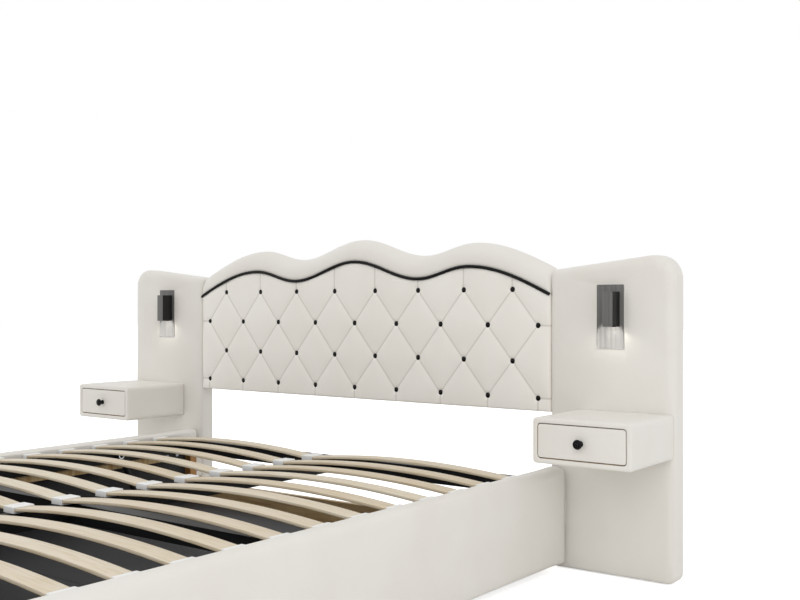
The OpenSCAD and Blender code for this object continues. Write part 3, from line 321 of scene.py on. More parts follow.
def skin(name, loops, creased=None):
    """A closed mesh through a row of loops. Where creased(i, j) gives 1 or 2, that four-sided
    face is split along one or the other diagonal, so that a crease across it stays unbroken."""
    many = len(loops[0])
    faces = []
    for i in range(len(loops) - 1):
        for j in range(many):
            a, b = i * many + j, i * many + (j + 1) % many
            c, d = b + many, a + many
            split = creased(i, j) if creased else 0
            if split == 1:
                faces += [(a, b, c), (a, c, d)]
            elif split == 2:
                faces += [(a, b, d), (b, c, d)]
            else:
                faces.append((a, b, c, d))
    last = (len(loops) - 1) * many
    faces += [tuple(range(many))[::-1], tuple(range(last, last + many))]
    mesh = bpy.data.meshes.new(name)
    mesh.from_pydata([point for loop in loops for point in loop], [], faces)
    obj = bpy.data.objects.new(name, mesh)
    bpy.context.scene.collection.objects.link(obj)
    outwards(obj)
    return obj


def turned(name, profile, centre, steps=32):
    """A piece spun about an axis along Y, from its radius and its distance in front of a centre."""
    deselect()
    points = [Vector((centre[0] + r, centre[1] - out, centre[2])) for r, out in profile]
    bpy.ops.mesh.primitive_plane_add(size=0.01, location=points[0], enter_editmode=True)
    bpy.ops.mesh.select_mode(type="VERT")
    bpy.ops.mesh.merge(type="CENTER")
    for start, end in zip(points, points[1:]):
        bpy.ops.mesh.extrude_vertices_move(TRANSFORM_OT_translate={"value": end - start})
    bpy.ops.mesh.select_all(action="SELECT")
    bpy.ops.mesh.spin(steps=steps, angle=2 * math.pi, center=centre, axis=(0, 1, 0))
    bpy.ops.object.mode_set(mode="OBJECT")
    obj = bpy.context.object
    bpy.ops.object.transform_apply(location=True, rotation=True, scale=True)
    obj.name = name
    outwards(obj)
    return obj


def points_of(mesh):
    """All of a mesh's points as an array."""
    flat = np.zeros(len(mesh.vertices) * 3)
    mesh.vertices.foreach_get("co", flat)
    return flat.reshape(-1, 3)


def puff(obj, loose, cap):
    """Fills a cover by cloth simulation: its loose points swell by at most the cap."""
    rest = points_of(obj.data)
    held = [k for k, place in enumerate(rest) if not loose(place)]
    group = obj.vertex_groups.new(name="held")
    group.add(held, 1.0, "REPLACE")
    cloth = obj.modifiers.new("Cloth", "CLOTH")
    cloth.settings.vertex_group_mass = group.name
    cloth.settings.use_pressure = True
    cloth.settings.uniform_pressure_force = PRESSURE
    cloth.settings.effector_weights.gravity = 0
    cloth.point_cache.frame_end = SIM_FRAMES
    for moment in range(1, SIM_FRAMES + 1):
        bpy.context.scene.frame_set(moment)
    swollen = points_of(obj.evaluated_get(bpy.context.evaluated_depsgraph_get()).data)
    moved = swollen - rest
    far = np.linalg.norm(moved, axis=1)
    kept = np.where(far > 0, cap * np.tanh(far / cap) / np.maximum(far, TOUCH), 0)
    kept[held] = 0
    obj.modifiers.remove(cloth)
    obj.vertex_groups.remove(group)
    obj.data.vertices.foreach_set("co", (rest + moved * kept[:, None]).ravel())
    obj.data.update()
    bpy.context.scene.frame_set(1)


def upholster(obj, voxel, loose, cap):
    """Meshes a block evenly, fills it and smooths it."""
    modify(obj, "REMESH", mode="VOXEL", voxel_size=voxel)
    puff(obj, loose, cap)
    refine(obj)


def dress(obj, slot, replaced, body="root", finish=None):
    """Gives a finished piece its material, smooth shading and the body it rides on, and hides the
    nodes it stands for. The material is the slot's own unless another finish is named."""
    if not obj.data.polygons:
        raise RuntimeError(f"{obj.name} has no faces")
    if not obj.data.materials:
        obj.data.materials.append(finish_of(finish or slot))
    pick(obj)
    bpy.ops.object.shade_smooth_by_angle(angle=SMOOTH_ANGLE)
    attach(obj, body)
    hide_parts(*replaced)


def dress_padded(obj, replaced, body="root", finish=None):
    """Dresses a piece in leather over padding."""
    dress(obj, "upholstery", replaced, body, finish)


# ---- materials --------------------------------------------------------------------------------

MIX_A, MIX_B, MIX_OUT = 6, 7, 2     # a Mix node's colour sockets
WHITE = (1.0, 1.0, 1.0, 1.0)


def add_node(tree, kind, settings=None):
    """Adds a node. A key that is a number or starts with a capital names a socket, which is set
    or, given another node's output, linked; any other key names a property."""
    made = tree.nodes.new("ShaderNode" + kind)
    for key, value in (settings or {}).items():
        if isinstance(value, bpy.types.NodeSocket):
            tree.links.new(value, made.inputs[key])
        elif isinstance(key, int) or key[0].isupper():
            made.inputs[key].default_value = value
        else:
            setattr(made, key, value)
    return made


def started(name):
    """An empty node material, its tree and the object's coordinates."""
    made = bpy.data.materials.get(name) or bpy.data.materials.new(name)
    made.use_nodes = True
    made.node_tree.nodes.clear()
    return made, made.node_tree, add_node(made.node_tree, "TexCoord").outputs["Object"]


def surfaced(made, settings):
    """Ends a material with its shader; what is the same all over is set on its sockets."""
    shader = add_node(made.node_tree, "BsdfPrincipled", settings)
    add_node(made.node_tree, "OutputMaterial", {"Surface": shader.outputs[0]})
    return made


def stretched(tree, place, scale):
    """Coordinates scaled along each axis."""
    return add_node(tree, "Mapping", {"Vector": place, "Scale": scale}).outputs["Vector"]


def noise(tree, place, width, detail, distortion=0.0):
    """Cloudy noise whose patches are about as wide as given."""
    return add_node(tree, "TexNoise", {"Vector": place, "Scale": 1 / width, "Detail": detail,
                                       "Distortion": distortion}).outputs["Fac"]


def cells(tree, place, width, settings):
    """Distance from the middles of cells that are about as wide as given."""
    return add_node(tree, "TexVoronoi", {"Vector": place, "Scale": 1 / width,
                                         **settings}).outputs["Distance"]


def ramp(tree, source, low, high):
    """A colour ramp over a value, between two pairs of a place and a colour."""
    made = add_node(tree, "ValToRGB", {"Fac": source})
    for element, (place, tone) in zip(made.color_ramp.elements, (low, high)):
        element.position, element.color = place, tone
    return made.outputs["Color"]


def spread(tree, source, low, high):
    """A value from 0 to 1, spread over a range."""
    return add_node(tree, "MapRange", {"Value": source, "To Min": low,
                                       "To Max": high}).outputs["Result"]


def multiplied(tree, one, other, share=1.0):
    """One colour multiplied by another, by a share."""
    return add_node(tree, "Mix", {"data_type": "RGBA", "blend_type": "MULTIPLY", 0: share,
                                  MIX_A: one, MIX_B: other}).outputs[MIX_OUT]


def bumped(tree, height, strength, depth):
    """A normal that follows a height, by a strength and a depth in millimetres."""
    return add_node(tree, "Bump", {"Height": height, "Strength": strength,
                                   "Distance": depth * MM}).outputs["Normal"]


def calculated(tree, operation, first, second=0.5):
    """The result of a sum on one or two values."""
    return add_node(tree, "Math", {"operation": operation, 0: first, 1: second}).outputs[0]


def tinted(code, share):
    """A colour scaled by a share, with its alpha kept."""
    return tuple(value * share for value in code[:3]) + (1.0,)


def coated_leather(name, base, deep, roughness, relief=0.10, shine=0.5, painted_crease_shade=None):
    """PU-coated leather cloth, embossed by a roller: a satin skin with a fine pebble grain and a
    soft change of tone over a hand's width. The grain of 0.8 mm is drawn 2.2 mm wide to show.
    A tufted cover gets painted shade along its creases, where little light gets in."""
    made, tree, place = started(name)
    grain = cells(tree, place, 2.2 * MM, {"feature": "SMOOTH_F1", "Smoothness": 0.7})
    cloud = noise(tree, place, 180 * MM, 3.0)
    tone = ramp(tree, cloud, (0.35, deep), (0.65, base))
    if painted_crease_shade:
        # painted shade: the leather is darkened where its points are marked as lying in a crease
        mark = add_node(tree, "Attribute", {"attribute_name": "painted_crease_shade"}).outputs["Fac"]
        tone = multiplied(tree, tone, ramp(tree, mark, (0.3, WHITE), (1.0, painted_crease_shade)))
    return surfaced(made, {"IOR": 1.46, "Specular IOR Level": shine, "Coat Weight": 0.08 * shine,
                           "Coat Roughness": 0.35, "Base Color": tone,
                           "Roughness": spread(tree, cloud, roughness - 0.05, roughness + 0.07),
                           "Normal": bumped(tree, grain, relief, 0.3)})


def gloss_black(name, base):
    """Injection-moulded ABS with a black lacquer, broken by faint ripples 5 mm apart and a few
    soft handling marks. It shines less than bare lacquer, or the white room would grey it."""
    made, tree, place = started(name)
    ripple = noise(tree, place, 5 * MM, 2.0)
    return surfaced(made, {"IOR": 1.5, "Specular IOR Level": 0.18,
                           "Base Color": ramp(tree, ripple, (0.3, base), (0.8, tinted(base, 2.2))),
                           "Roughness": spread(tree, ripple, 0.07, 0.2),
                           "Normal": bumped(tree, ripple, 0.05, 0.1)})


def spunbond(name, code):
    """Spunbonded polypropylene dust cloth: matt fibres pressed together in a grid of small bond
    points. The points, 1.5 mm apart in real cloth, are drawn 3 mm apart to show."""
    made, tree, place = started(name)
    bond = cells(tree, place, 3 * MM, {"feature": "F1", "Randomness": 0.15})
    fibre = noise(tree, place, 6 * MM, 6.0, 1.5)
    tone = linear(code)
    return surfaced(made, {"Roughness": 0.85, "IOR": 1.49, "Sheen Weight": 0.25,
                           "Sheen Roughness": 0.6, "Normal": bumped(tree, bond, 0.4, 0.4),
                           "Base Color": ramp(tree, fibre, (0.25, tinted(tone, 0.6)),
                                              (0.75, tinted(tone, 1.6)))})


def wood(name, pale, dark, stretch, ring, roughness):
    """Planed or peeled wood: long streaks along the grain, about a ring's width apart, with fine
    pores between them. The grain runs along the axis whose stretch is the smallest."""
    made, tree, place = started(name)
    along = stretched(tree, place, stretch)
    streak, pore = noise(tree, along, ring, 5.0, 0.6), noise(tree, along, ring / 6, 3.0)
    tone = ramp(tree, streak, (0.36, linear(dark)), (0.58, linear(pale)))
    speck = ramp(tree, pore, (0.30, tinted(WHITE, 0.65)), (0.46, WHITE))
    return surfaced(made, {"Roughness": roughness, "IOR": 1.5,
                           "Base Color": multiplied(tree, tone, speck, 0.5),
                           "Normal": bumped(tree, pore, 0.2, 0.2)})


def moulded(name, code, roughness, texture=4.0):
    """Injection-moulded plastic or pressed board: an even, slightly waxy skin with a fine spark
    texture, drawn 4 to 8 mm wide to show."""
    made, tree, place = started(name)
    spark, tone = noise(tree, place, texture * MM, 4.0), linear(code)
    return surfaced(made, {"Roughness": roughness, "IOR": 1.49,
                           "Base Color": ramp(tree, spark, (0.3, tinted(tone, 0.93)), (0.7, tone)),
                           "Normal": bumped(tree, spark, 0.12, 0.15)})


def powder_coat(name, code, roughness):
    """Polyester powder coat, baked on: flows out to an orange peel of shallow dimples 2.5 mm
    apart, with a low gloss."""
    made, tree, place = started(name)
    peel, worn = noise(tree, place, 2.5 * MM, 2.0), noise(tree, place, 90 * MM, 4.0)
    tone = linear(code)
    return surfaced(made, {"IOR": 1.5, "Specular IOR Level": 0.3,
                           "Base Color": ramp(tree, worn, (0.3, tone), (0.8, tinted(tone, 1.5))),
                           "Roughness": spread(tree, worn, roughness - 0.06, roughness + 0.08),
                           "Normal": bumped(tree, peel, 0.18, 0.15)})


def plated_steel(name, code, low_rough, high_rough, drawn):
    """Plated or drawn steel: a metal whose polish changes in patches, with drawing lines across
    the axis whose scale is the largest."""
    made, tree, place = started(name)
    scratch = noise(tree, stretched(tree, place, drawn), 1.5 * MM, 3.0)
    patch, tone = noise(tree, place, 12 * MM, 3.0), linear(code)
    return surfaced(made, {"Metallic": 1.0,
                           "Base Color": ramp(tree, patch, (0.3, tinted(tone, 0.86)), (0.7, tone)),
                           "Roughness": spread(tree, scratch, low_rough, high_rough),
                           "Normal": bumped(tree, scratch, 0.08, 0.05)})


def birch_face(name, finishes):
    """Rotary-peeled birch, laminated and bowed: pale with long faint grain, and each slat a
    little different. The grain lines are 3 to 6 mm apart."""
    made, tree, place = started(name)
    parts = add_node(tree, "SeparateXYZ", {"Vector": place})
    pitch = slat_spacing()[1]
    ahead = 30 * MM     # a slat's own tone starts this far before its edge, amid the gap
    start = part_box("right_slats")[0].y - ahead
    number = calculated(tree, "SNAP", calculated(tree, "SUBTRACT", parts.outputs["Y"], start),
                        pitch)
    side = calculated(tree, "SIGN", parts.outputs["X"])
    spot = add_node(tree, "CombineXYZ", {"X": number, "Y": side}).outputs[0]
    own = add_node(tree, "TexWhiteNoise", {"noise_dimensions": "3D", "Vector": spot})
    streak = noise(tree, stretched(tree, place, (0.06, 1.0, 1.0)), 7 * MM, 5.0, 0.4)
    tone = ramp(tree, streak, (0.34, finishes.slat_grain), (0.56, finishes.slat))
    shade = ramp(tree, own.outputs["Value"], (0.0, linear("#F4EEE6")), (1.0, WHITE))
    return surfaced(made, {"Roughness": 0.48, "IOR": 1.5, "Coat Weight": 0.1,
                           "Coat Roughness": 0.3, "Base Color": multiplied(tree, tone, shade),
                           "Normal": bumped(tree, streak, 0.12, 0.15)})


def birch_edge_and_shade(name, finishes):
    """The sawn edge of the laminate: six veneers of 1.3 mm, light and dark in turn, end grain
    and long grain, browner than the face. It is laid only on the slat's downward lower bevels,
    so its browner tone is partly the laminate's edge and partly painted shade under the slat."""
    made, tree, place = started(name)
    pair = 2.6 * MM     # a light and a dark veneer
    layers = add_node(tree, "TexWave", {"wave_type": "BANDS", "bands_direction": "Z",
                                        "Vector": place, "Scale": 1 / pair / (2 * math.pi),
                                        "Distortion": 0.4, "Detail": 1.0}).outputs["Fac"]
    tone = finishes.slat_edge_and_shade
    return surfaced(made, {"Roughness": 0.6, "IOR": 1.5,
                           "Base Color": ramp(tree, layers, (0.2, tinted(tone, 0.8)), (0.8, tone)),
                           "Normal": bumped(tree, layers, 0.2, 0.2)})


def brushed_plate(name, base):
    """Steel sheet under a dark grey satin lacquer, brushed upright before it was painted: faint
    stripes 4 to 8 mm apart, from top to bottom."""
    made, tree, place = started(name)
    stripe = noise(tree, stretched(tree, place, (1.0, 1.0, 0.01)), 7 * MM, 3.0)
    return surfaced(made, {"Metallic": 0.35, "IOR": 1.5,
                           "Base Color": ramp(tree, stripe, (0.35, tinted(base, 0.8)),
                                              (0.65, tinted(base, 1.12))),
                           "Roughness": spread(tree, stripe, 0.3, 0.42)})


def opal_lens(name, glow):
    """Opal acrylic lit from behind by LEDs: a warm white that is a little brighter over each
    LED, 12 mm apart."""
    made, tree, place = started(name)
    tone = ramp(tree, cells(tree, place, 12 * MM, {"Randomness": 0.0}),
                (0.0, glow), (0.9, tinted(glow, 0.9)))
    return surfaced(made, {"Roughness": 0.35, "IOR": 1.49, "Emission Strength": 4.0,
                           "Base Color": tone, "Emission Color": tone})


def solder_mask(name):
    """A white LED board: glossy solder mask over copper, with a grid of small pads 6 mm apart."""
    made, tree, place = started(name)
    pads = cells(tree, place, 6 * MM, {"distance": "CHEBYCHEV", "Randomness": 0.0})
    return surfaced(made, {"Roughness": 0.3, "IOR": 1.52,
                           "Base Color": ramp(tree, pads, (0.15, linear("#C9B06A")),
                                              (0.2, linear("#E9EBE6")))})


def make_materials():
    """All finishes, named for the record's material slots."""
    tones = bpy.context.scene.bed_finishes
    return {
        "upholstery": coated_leather("cream_pu_leather", tones.leather, tones.leather_shade, 0.46),
        # the tufted cover's leather: the cream leather painted lighter, with painted shade along
        # its creases
        "tufting": coated_leather("lightened_tufted_pu_leather", tones.tufted, tones.tufted_shade, 0.46,
                                  painted_crease_shade=tones.painted_crease_shade),
        "piping": coated_leather("black_pu_piping", tinted(tones.piping, 1.6), tones.piping, 0.34,
                                 relief=0.2, shine=0.2),
        "buttons": gloss_black("lacquered_button", tones.gloss),
        "knob": gloss_black("lacquered_knob", tones.gloss),
        "dust_cloth": spunbond("black_dust_cloth", "#232325"),
        "lining": spunbond("black_box_lining", "#29292B"),
        "timber": wood("sawn_pine", "#D9BC8C", "#B98F58", (1.0, 1.0, 0.15), 22 * MM, 0.7),
        "brown_board": wood("brown_foiled_board", "#C0A479", "#A68961", (0.05, 1.0, 1.0),
                            12 * MM, 0.5),
        "post_wood": wood("golden_pine_post", "#C08A4A", "#996428", (1.0, 1.0, 0.06), 9 * MM, 0.55),
        "floor_panel": moulded("dark_hardboard", "#37383B", 0.6, texture=8.0),
        "slat_wood": birch_face("birch_laminate", tones),
        "drawer_wood": wood("foiled_drawer_board", "#E3D3B4", "#CDB78F", (1.0, 0.08, 1.0),
                            14 * MM, 0.5),
        "white_plastic": moulded("white_polypropylene", "#F1F1EF", 0.45),
        "black_plastic": moulded("black_nylon", "#1C1C1E", 0.5),
        "black_steel": powder_coat("black_powder_coat", "#161719", 0.42),
        "cream_steel": powder_coat("cream_powder_coat", "#CFCBC3", 0.5),
        "zinc_steel": plated_steel("zinc_plated_steel", "#B9BCC0", 0.4, 0.6, (1.0, 1.0, 1.0)),
        "strut_rod": plated_steel("hard_chromed_rod", "#D5D7DA", 0.08, 0.18, (1.0, 1.0, 6.0)),
        "lamp_plate": brushed_plate("brushed_grey_plate", tones.lamp),
        "lamp_housing": powder_coat("satin_black_housing", "#121212", 0.34),
        "lamp_lens": opal_lens("opal_acrylic", tones.glow),
        "circuit_board": solder_mask("white_solder_mask"),
    }


MATERIALS = {}


def finish_of(slot):
    """The material of a slot, made at first use."""
    if not MATERIALS:
        MATERIALS.update(make_materials())
    return MATERIALS[slot]


# ---- headboard --------------------------------------------------------------------------------

LAST_BUTTON = 4     # columns of buttons on either side of the middle
BUTTON_ROWS = 4
CELLS_ACROSS = 32   # mesh columns between two buttons
CELLS_UP = 16       # mesh rows between two button rows
EDGE_CELLS = 10     # mesh columns beside a seam
SIDE_FULLNESS = 0.8  # power that makes the tufts beside the wings stand fuller
DIMPLE_REACH = 0.3  # how far past its end buttons a row still dimples, in pitches
UNDER_PIPING = 0.6  # share of the edge round that is left beside the piping
TUFT_PUFF = 0.7     # share of the panels' puff that the tufts may swell


def ease(t):
    """A smooth step from 0 to 1."""
    return (1 - math.cos(math.pi * t)) / 2


def wave(sizes, x):
    """Height of the piping across the headboard."""
    side = abs(x)
    if side < sizes.valley_x:
        drop = (sizes.valley - sizes.crest_middle) * ease(side / sizes.valley_x)
        return sizes.crest_middle + drop
    if side < sizes.crest_side_x:
        share = (side - sizes.valley_x) / (sizes.crest_side_x - sizes.valley_x)
        return sizes.valley + (sizes.crest_side - sizes.valley) * ease(share)
    share = (side - sizes.crest_side_x) / (HALF_W - sizes.crest_side_x)
    fall = 1 - math.cos(math.pi / 2 * share)
    return sizes.crest_side - (sizes.crest_side - sizes.wave_end) * fall


def in_pitches(sizes, x, z):
    """A place on the headboard, counted in button pitches and in button rows."""
    return x / sizes.button_pitch, (z - sizes.first_row) / sizes.row_pitch


def fullness(a, b):
    """How full the cover stands at a place given in pitches: 0 in a crease, 1 amid a tuft."""
    if abs(a) > LAST_BUTTON:
        return 1.0 if b > BUTTON_ROWS - 1 else abs(math.sin(math.pi / 2 * b)) ** SIDE_FULLNESS
    if b > BUTTON_ROWS - 1:
        return abs(math.cos(math.pi * a))
    if b < 0:
        return abs(math.sin(math.pi * a))
    return math.sqrt(abs(math.sin(math.pi * (a + b / 2)) * math.sin(math.pi * (a - b / 2))))


def off(t):
    """Distance from the nearest whole number."""
    return abs(t - round(t))


def fold_distance(sizes, a, b):
    """Distance of a place on the face from the nearest crease or pleat."""
    if abs(a) > LAST_BUTTON:
        return HALF_W if b > BUTTON_ROWS - 1 else off(b / 2) * 2 * sizes.row_pitch
    if b > BUTTON_ROWS - 1:
        return off(a - 0.5) * sizes.button_pitch
    if b < 0:
        return off(a) * sizes.button_pitch
    steepness = math.hypot(1 / sizes.button_pitch, 0.5 / sizes.row_pitch)
    return min(off(a + b / 2), off(a - b / 2)) / steepness


def paint_crease_shade(cover, sizes):
    """Marks how deep each point of the face lies in a crease, for the painted shade in the
    leather's tone.
    """
    marks = cover.data.attributes.new("painted_crease_shade", "FLOAT", "POINT")
    unseen = BOARD_Y - 5 * MM    # behind this the cover turns round the board
    for point in cover.data.vertices:
        x, y, z = point.co
        depth = 1 - fold_distance(sizes, *in_pitches(sizes, x, z)) / sizes.crease_shade_width
        marks.data[point.index].value = max(0.0, depth) if y < unseen else 0.0


def dimple(sizes, a, b, width):
    """Extra depth close to a button, as a share of the most, which fades over a width."""
    most = 0.0
    for row in range(BUTTON_ROWS):
        shift = row % 2 / 2
        if abs(a) < LAST_BUTTON + DIMPLE_REACH - shift:
            across = (a - shift - round(a - shift)) * sizes.button_pitch
            up = (b - row) * sizes.row_pitch
            most = max(most, math.exp(-(across ** 2 + up ** 2) / width ** 2))
    return most


def edge_drop(radius, distance):
    """Depth of a rounded edge at a distance from it."""
    t = 1 - min(1.0, max(0.0, distance / radius))
    return radius * (1 - math.sqrt(1 - t * t))


def piping_groove(sizes, distance):
    """Depth of the seat that the piping lies in, at a height over or under its middle."""
    seat = sizes.piping_radius + 0.4 * MM
    return math.sqrt(max(0.0, seat ** 2 - distance ** 2))


def tuft_y(sizes, x, z):
    """Y of the tufted cover's face."""
    a, b = in_pitches(sizes, x, z)
    top = wave(sizes, x) - z
    rims = (edge_drop(sizes.edge_round, HALF_W - abs(x)),
            edge_drop(sizes.low_round, z - LOW_EDGE),
            edge_drop(sizes.edge_round, top) * UNDER_PIPING, piping_groove(sizes, top))
    calm = min(1.0, max(rims) / sizes.edge_round)
    crease = sizes.crease_depth * (1 - fullness(a, b))
    sunk = sizes.button_sink * dimple(sizes, a, b, sizes.dimple_radius)
    return FACE_Y + max(rims) + (1 - calm) * (crease + sunk)


def closing_in(start, end, many):
    """Places from start to end that lie closer together towards the end, without the start."""
    return [start + (end - start) * math.sin(math.pi / 2 * k / many) for k in range(1, many + 1)]


def headboard_columns(sizes):
    """Places of the mesh columns: even between the end buttons, closer at the seams."""
    reach = LAST_BUTTON * sizes.button_pitch
    across = 2 * LAST_BUTTON * CELLS_ACROSS
    strip = closing_in(reach, HALF_W, EDGE_CELLS)
    even = [reach * (2 * k / across - 1) for k in range(across + 1)]
    return [-x for x in reversed(strip)] + even + strip


def headboard_rows(sizes, x):
    """Heights of the mesh rows in one column: along the button rows, then following the wave."""
    top = wave(sizes, x)
    held = sizes.first_row + (BUTTON_ROWS - 2) * sizes.row_pitch
    highest = 0.97       # share of the way to the piping that the last button row may take up
    last_row = held + min(sizes.row_pitch, highest * (top - held))
    low = list(reversed(closing_in(sizes.first_row, LOW_EDGE, EDGE_CELLS)))
    even = [sizes.first_row + k * sizes.row_pitch / CELLS_UP
            for k in range((BUTTON_ROWS - 2) * CELLS_UP + 1)]
    high = [held + (last_row - held) * k / CELLS_UP for k in range(1, CELLS_UP + 1)]
    return low + even + high + closing_in(last_row, top, EDGE_CELLS + 4)


class BED_OT_headboard_cover(bpy.types.Operator):
    """Tuft the headboard's cover"""
    bl_idname = "bed.headboard_cover"
    bl_label = "Headboard Cover"

    def execute(self, context):
        sizes = context.scene.bed_headboard
        columns = headboard_columns(sizes)
        wrap = 2.7 * MM      # thickness of the cover where it turns under the frame
        under_y = BACK_Y - 1.2 * MM
        behind = BOARD_Y - 0.1 * MM
        lead = 3             # points of a loop before its face
        loops = []
        for x in columns:
            face = [(x, tuft_y(sizes, x, z), z) for z in headboard_rows(sizes, x)]
            loops.append([(x, behind, LOW_EDGE + wrap), (x, under_y, LOW_EDGE + wrap),
                          (x, under_y, LOW_EDGE)] + face + [(x, behind, wave(sizes, x))])

        def creased(i, j):
            """Which diagonal of a mesh cell a crease runs along."""
            if not lead <= j < len(loops[0]) - 2 or i + 1 >= len(columns):
                return 0
            a, b = in_pitches(sizes, (columns[i] + columns[i + 1]) / 2,
                              (loops[i][j][2] + loops[i + 1][j + 1][2]) / 2)
            if abs(a) > LAST_BUTTON or not 0 < b < BUTTON_ROWS - 1:
                return 0
            near = 0.25 / CELLS_ACROSS
            if off(a - b / 2) < near:
                return 1
            return 2 if off(a + b / 2) < near else 0

        cover = skin("headboard_cover", loops, creased)
        # painted shade along the creases
        paint_crease_shade(cover, sizes)
        rim = 5 * MM
        creased_under, dimpled_over = 0.12, 0.2
        held_round = 1.3 * sizes.button_radius

        def loose(place):
            """True where the cover isn't held by a crease, a button or a rim."""
            x, y, z = place
            a, b = in_pitches(sizes, x, z)
            return (y < FACE_Y + sizes.edge_round and z > LOW_EDGE + rim and HALF_W - abs(x) > rim
                    and wave(sizes, x) - z > 2 * rim and fullness(a, b) > creased_under
                    and dimple(sizes, a, b, held_round) < dimpled_over)
        puff(cover, loose, context.scene.bed_panels.puff * TUFT_PUFF)
        refine(cover)
        # the tufting finish: cream leather painted lighter, with painted shade in the creases
        dress_padded(cover, ["headboard_pad"], finish="tufting")
        return {"FINISHED"}


def roll_loop(sizes, x):
    """Section of the band over the piping: up the front, over the top and down the back."""
    z = wave(sizes, x)
    dip = edge_drop(sizes.edge_round, HALF_W - abs(x))
    tuck = 14 * MM       # height over which the band swells out of the piping's seam
    seam = 6.5 * MM      # how far the band is drawn in at the seam
    over = 0.2 * MM      # gap between the seam and the tufted cover
    tuck_steps, steps = 6, 26
    back = BACK_Y - 1 * MM
    inner = z + sizes.band_height - tuck
    loop = [(x, BOARD_Y, inner), (x, BOARD_Y, z + over)]
    for k in range(tuck_steps):
        up = tuck * k / tuck_steps
        depth = max(piping_groove(sizes, up), seam * (1 - k / tuck_steps) ** 2)
        loop.append((x, FACE_Y + max(depth, dip), z + over + up))
    for k in range(steps + 1):
        turn = math.pi / 2 * k / steps
        loop.append((x, FACE_Y + dip + (back - FACE_Y - dip) * (1 - math.cos(turn)),
                     z + tuck + (sizes.band_height - tuck - dip) * math.sin(turn)))
    return loop + [(x, back, inner)]


class BED_OT_headboard_roll(bpy.types.Operator):
    """Roll the smooth band over the headboard's top"""
    bl_idname = "bed.headboard_roll"
    bl_label = "Headboard Roll"

    def execute(self, context):
        sizes = context.scene.bed_headboard
        columns = headboard_columns(sizes)
        coarse = columns[:EDGE_CELLS] + columns[EDGE_CELLS:-EDGE_CELLS:2] + columns[-EDGE_CELLS:]
        roll = skin("headboard_roll", [roll_loop(sizes, x) for x in coarse])
        refine(roll)
        dress_padded(roll, ["headboard_band"])
        return {"FINISHED"}


class BED_OT_headboard_piping(bpy.types.Operator):
    """Lay the piping between the tufted cover and the roll"""
    bl_idname = "bed.headboard_piping"
    bl_label = "Headboard Piping"

    def execute(self, context):
        sizes = context.scene.bed_headboard
        steps = 240
        end = HALF_W - 2 * MM    # the piping stops a little before the wings
        follow = 3               # it goes back by a third of the cover's drop beside them
        deselect()
        bpy.ops.curve.primitive_nurbs_path_add()
        path = context.object
        path.location = (0, 0, 0)
        line = path.data
        line.splines.clear()
        spline = line.splines.new("POLY")
        spline.points.add(steps)
        for k, point in enumerate(spline.points):
            x = end * (2 * k / steps - 1)
            point.co = (x, FACE_Y + edge_drop(sizes.edge_round, HALF_W - abs(x)) / follow,
                        wave(sizes, x), 1)
        line.bevel_depth, line.bevel_resolution = sizes.piping_radius, 5
        line.use_fill_caps = True
        bpy.ops.object.convert(target="MESH")
        piping = context.object
        piping.name = "headboard_piping_welt"
        outwards(piping)
        dress(piping, "piping", ["headboard_piping"])
        return {"FINISHED"}


def quarter(steps, first=0):
    """Angles from 0 to a right angle, in even steps."""
    return [math.pi / 2 * k / steps for k in range(first, steps + 1)]


class BED_OT_headboard_buttons(bpy.types.Operator):
    """Set the black buttons into the tufting"""
    bl_idname = "bed.headboard_buttons"
    bl_label = "Headboard Buttons"

    def execute(self, context):
        sizes = context.scene.bed_headboard
        low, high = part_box("headboard_buttons")
        r, tall = sizes.button_radius, high.y - low.y
        rim_at, dome = tall - 7 * MM, 6 * MM
        profile = [(0, 0), (2 * MM, 0), (r - 0.6 * MM, rim_at - 0.6 * MM), (r, rim_at),
                   (r, rim_at + 1 * MM)]
        profile += [(r * math.cos(t), rim_at + 1 * MM + dome * math.sin(t))
                    for t in quarter(9, first=1)]
        places = []
        for row in range(BUTTON_ROWS):
            many = 2 * LAST_BUTTON + 1 - row % 2
            z = sizes.first_row + row * sizes.row_pitch
            places += [((k - (many - 1) / 2) * sizes.button_pitch, 0, z) for k in range(many)]
        whole = repeated(turned("button", profile, (0, high.y, 0)), "headboard_button_set", places)
        dress(whole, "buttons", ["headboard_buttons"])
        return {"FINISHED"}


# ---- wings, rails and nightstands -------------------------------------------------------------


def wing_block(name, low, high, inner_top, rounds):
    """A wing's block with a sloping top and its four corners rounded, inner ones first."""
    block = box_piece(name, low, high)
    choose(block, "VERT", on(block, x=low[0], z=high[2]))
    bpy.ops.transform.translate(value=(0, 0, inner_top - high[2]))
    bpy.ops.object.mode_set(mode="OBJECT")
    corners = [(low[0], low[2]), (low[0], inner_top), (high[0], low[2]), (high[0], high[2])]
    for (x, z), radius in zip(corners, rounds):
        soften(block, radius, 10, x=x, z=z)
    return block


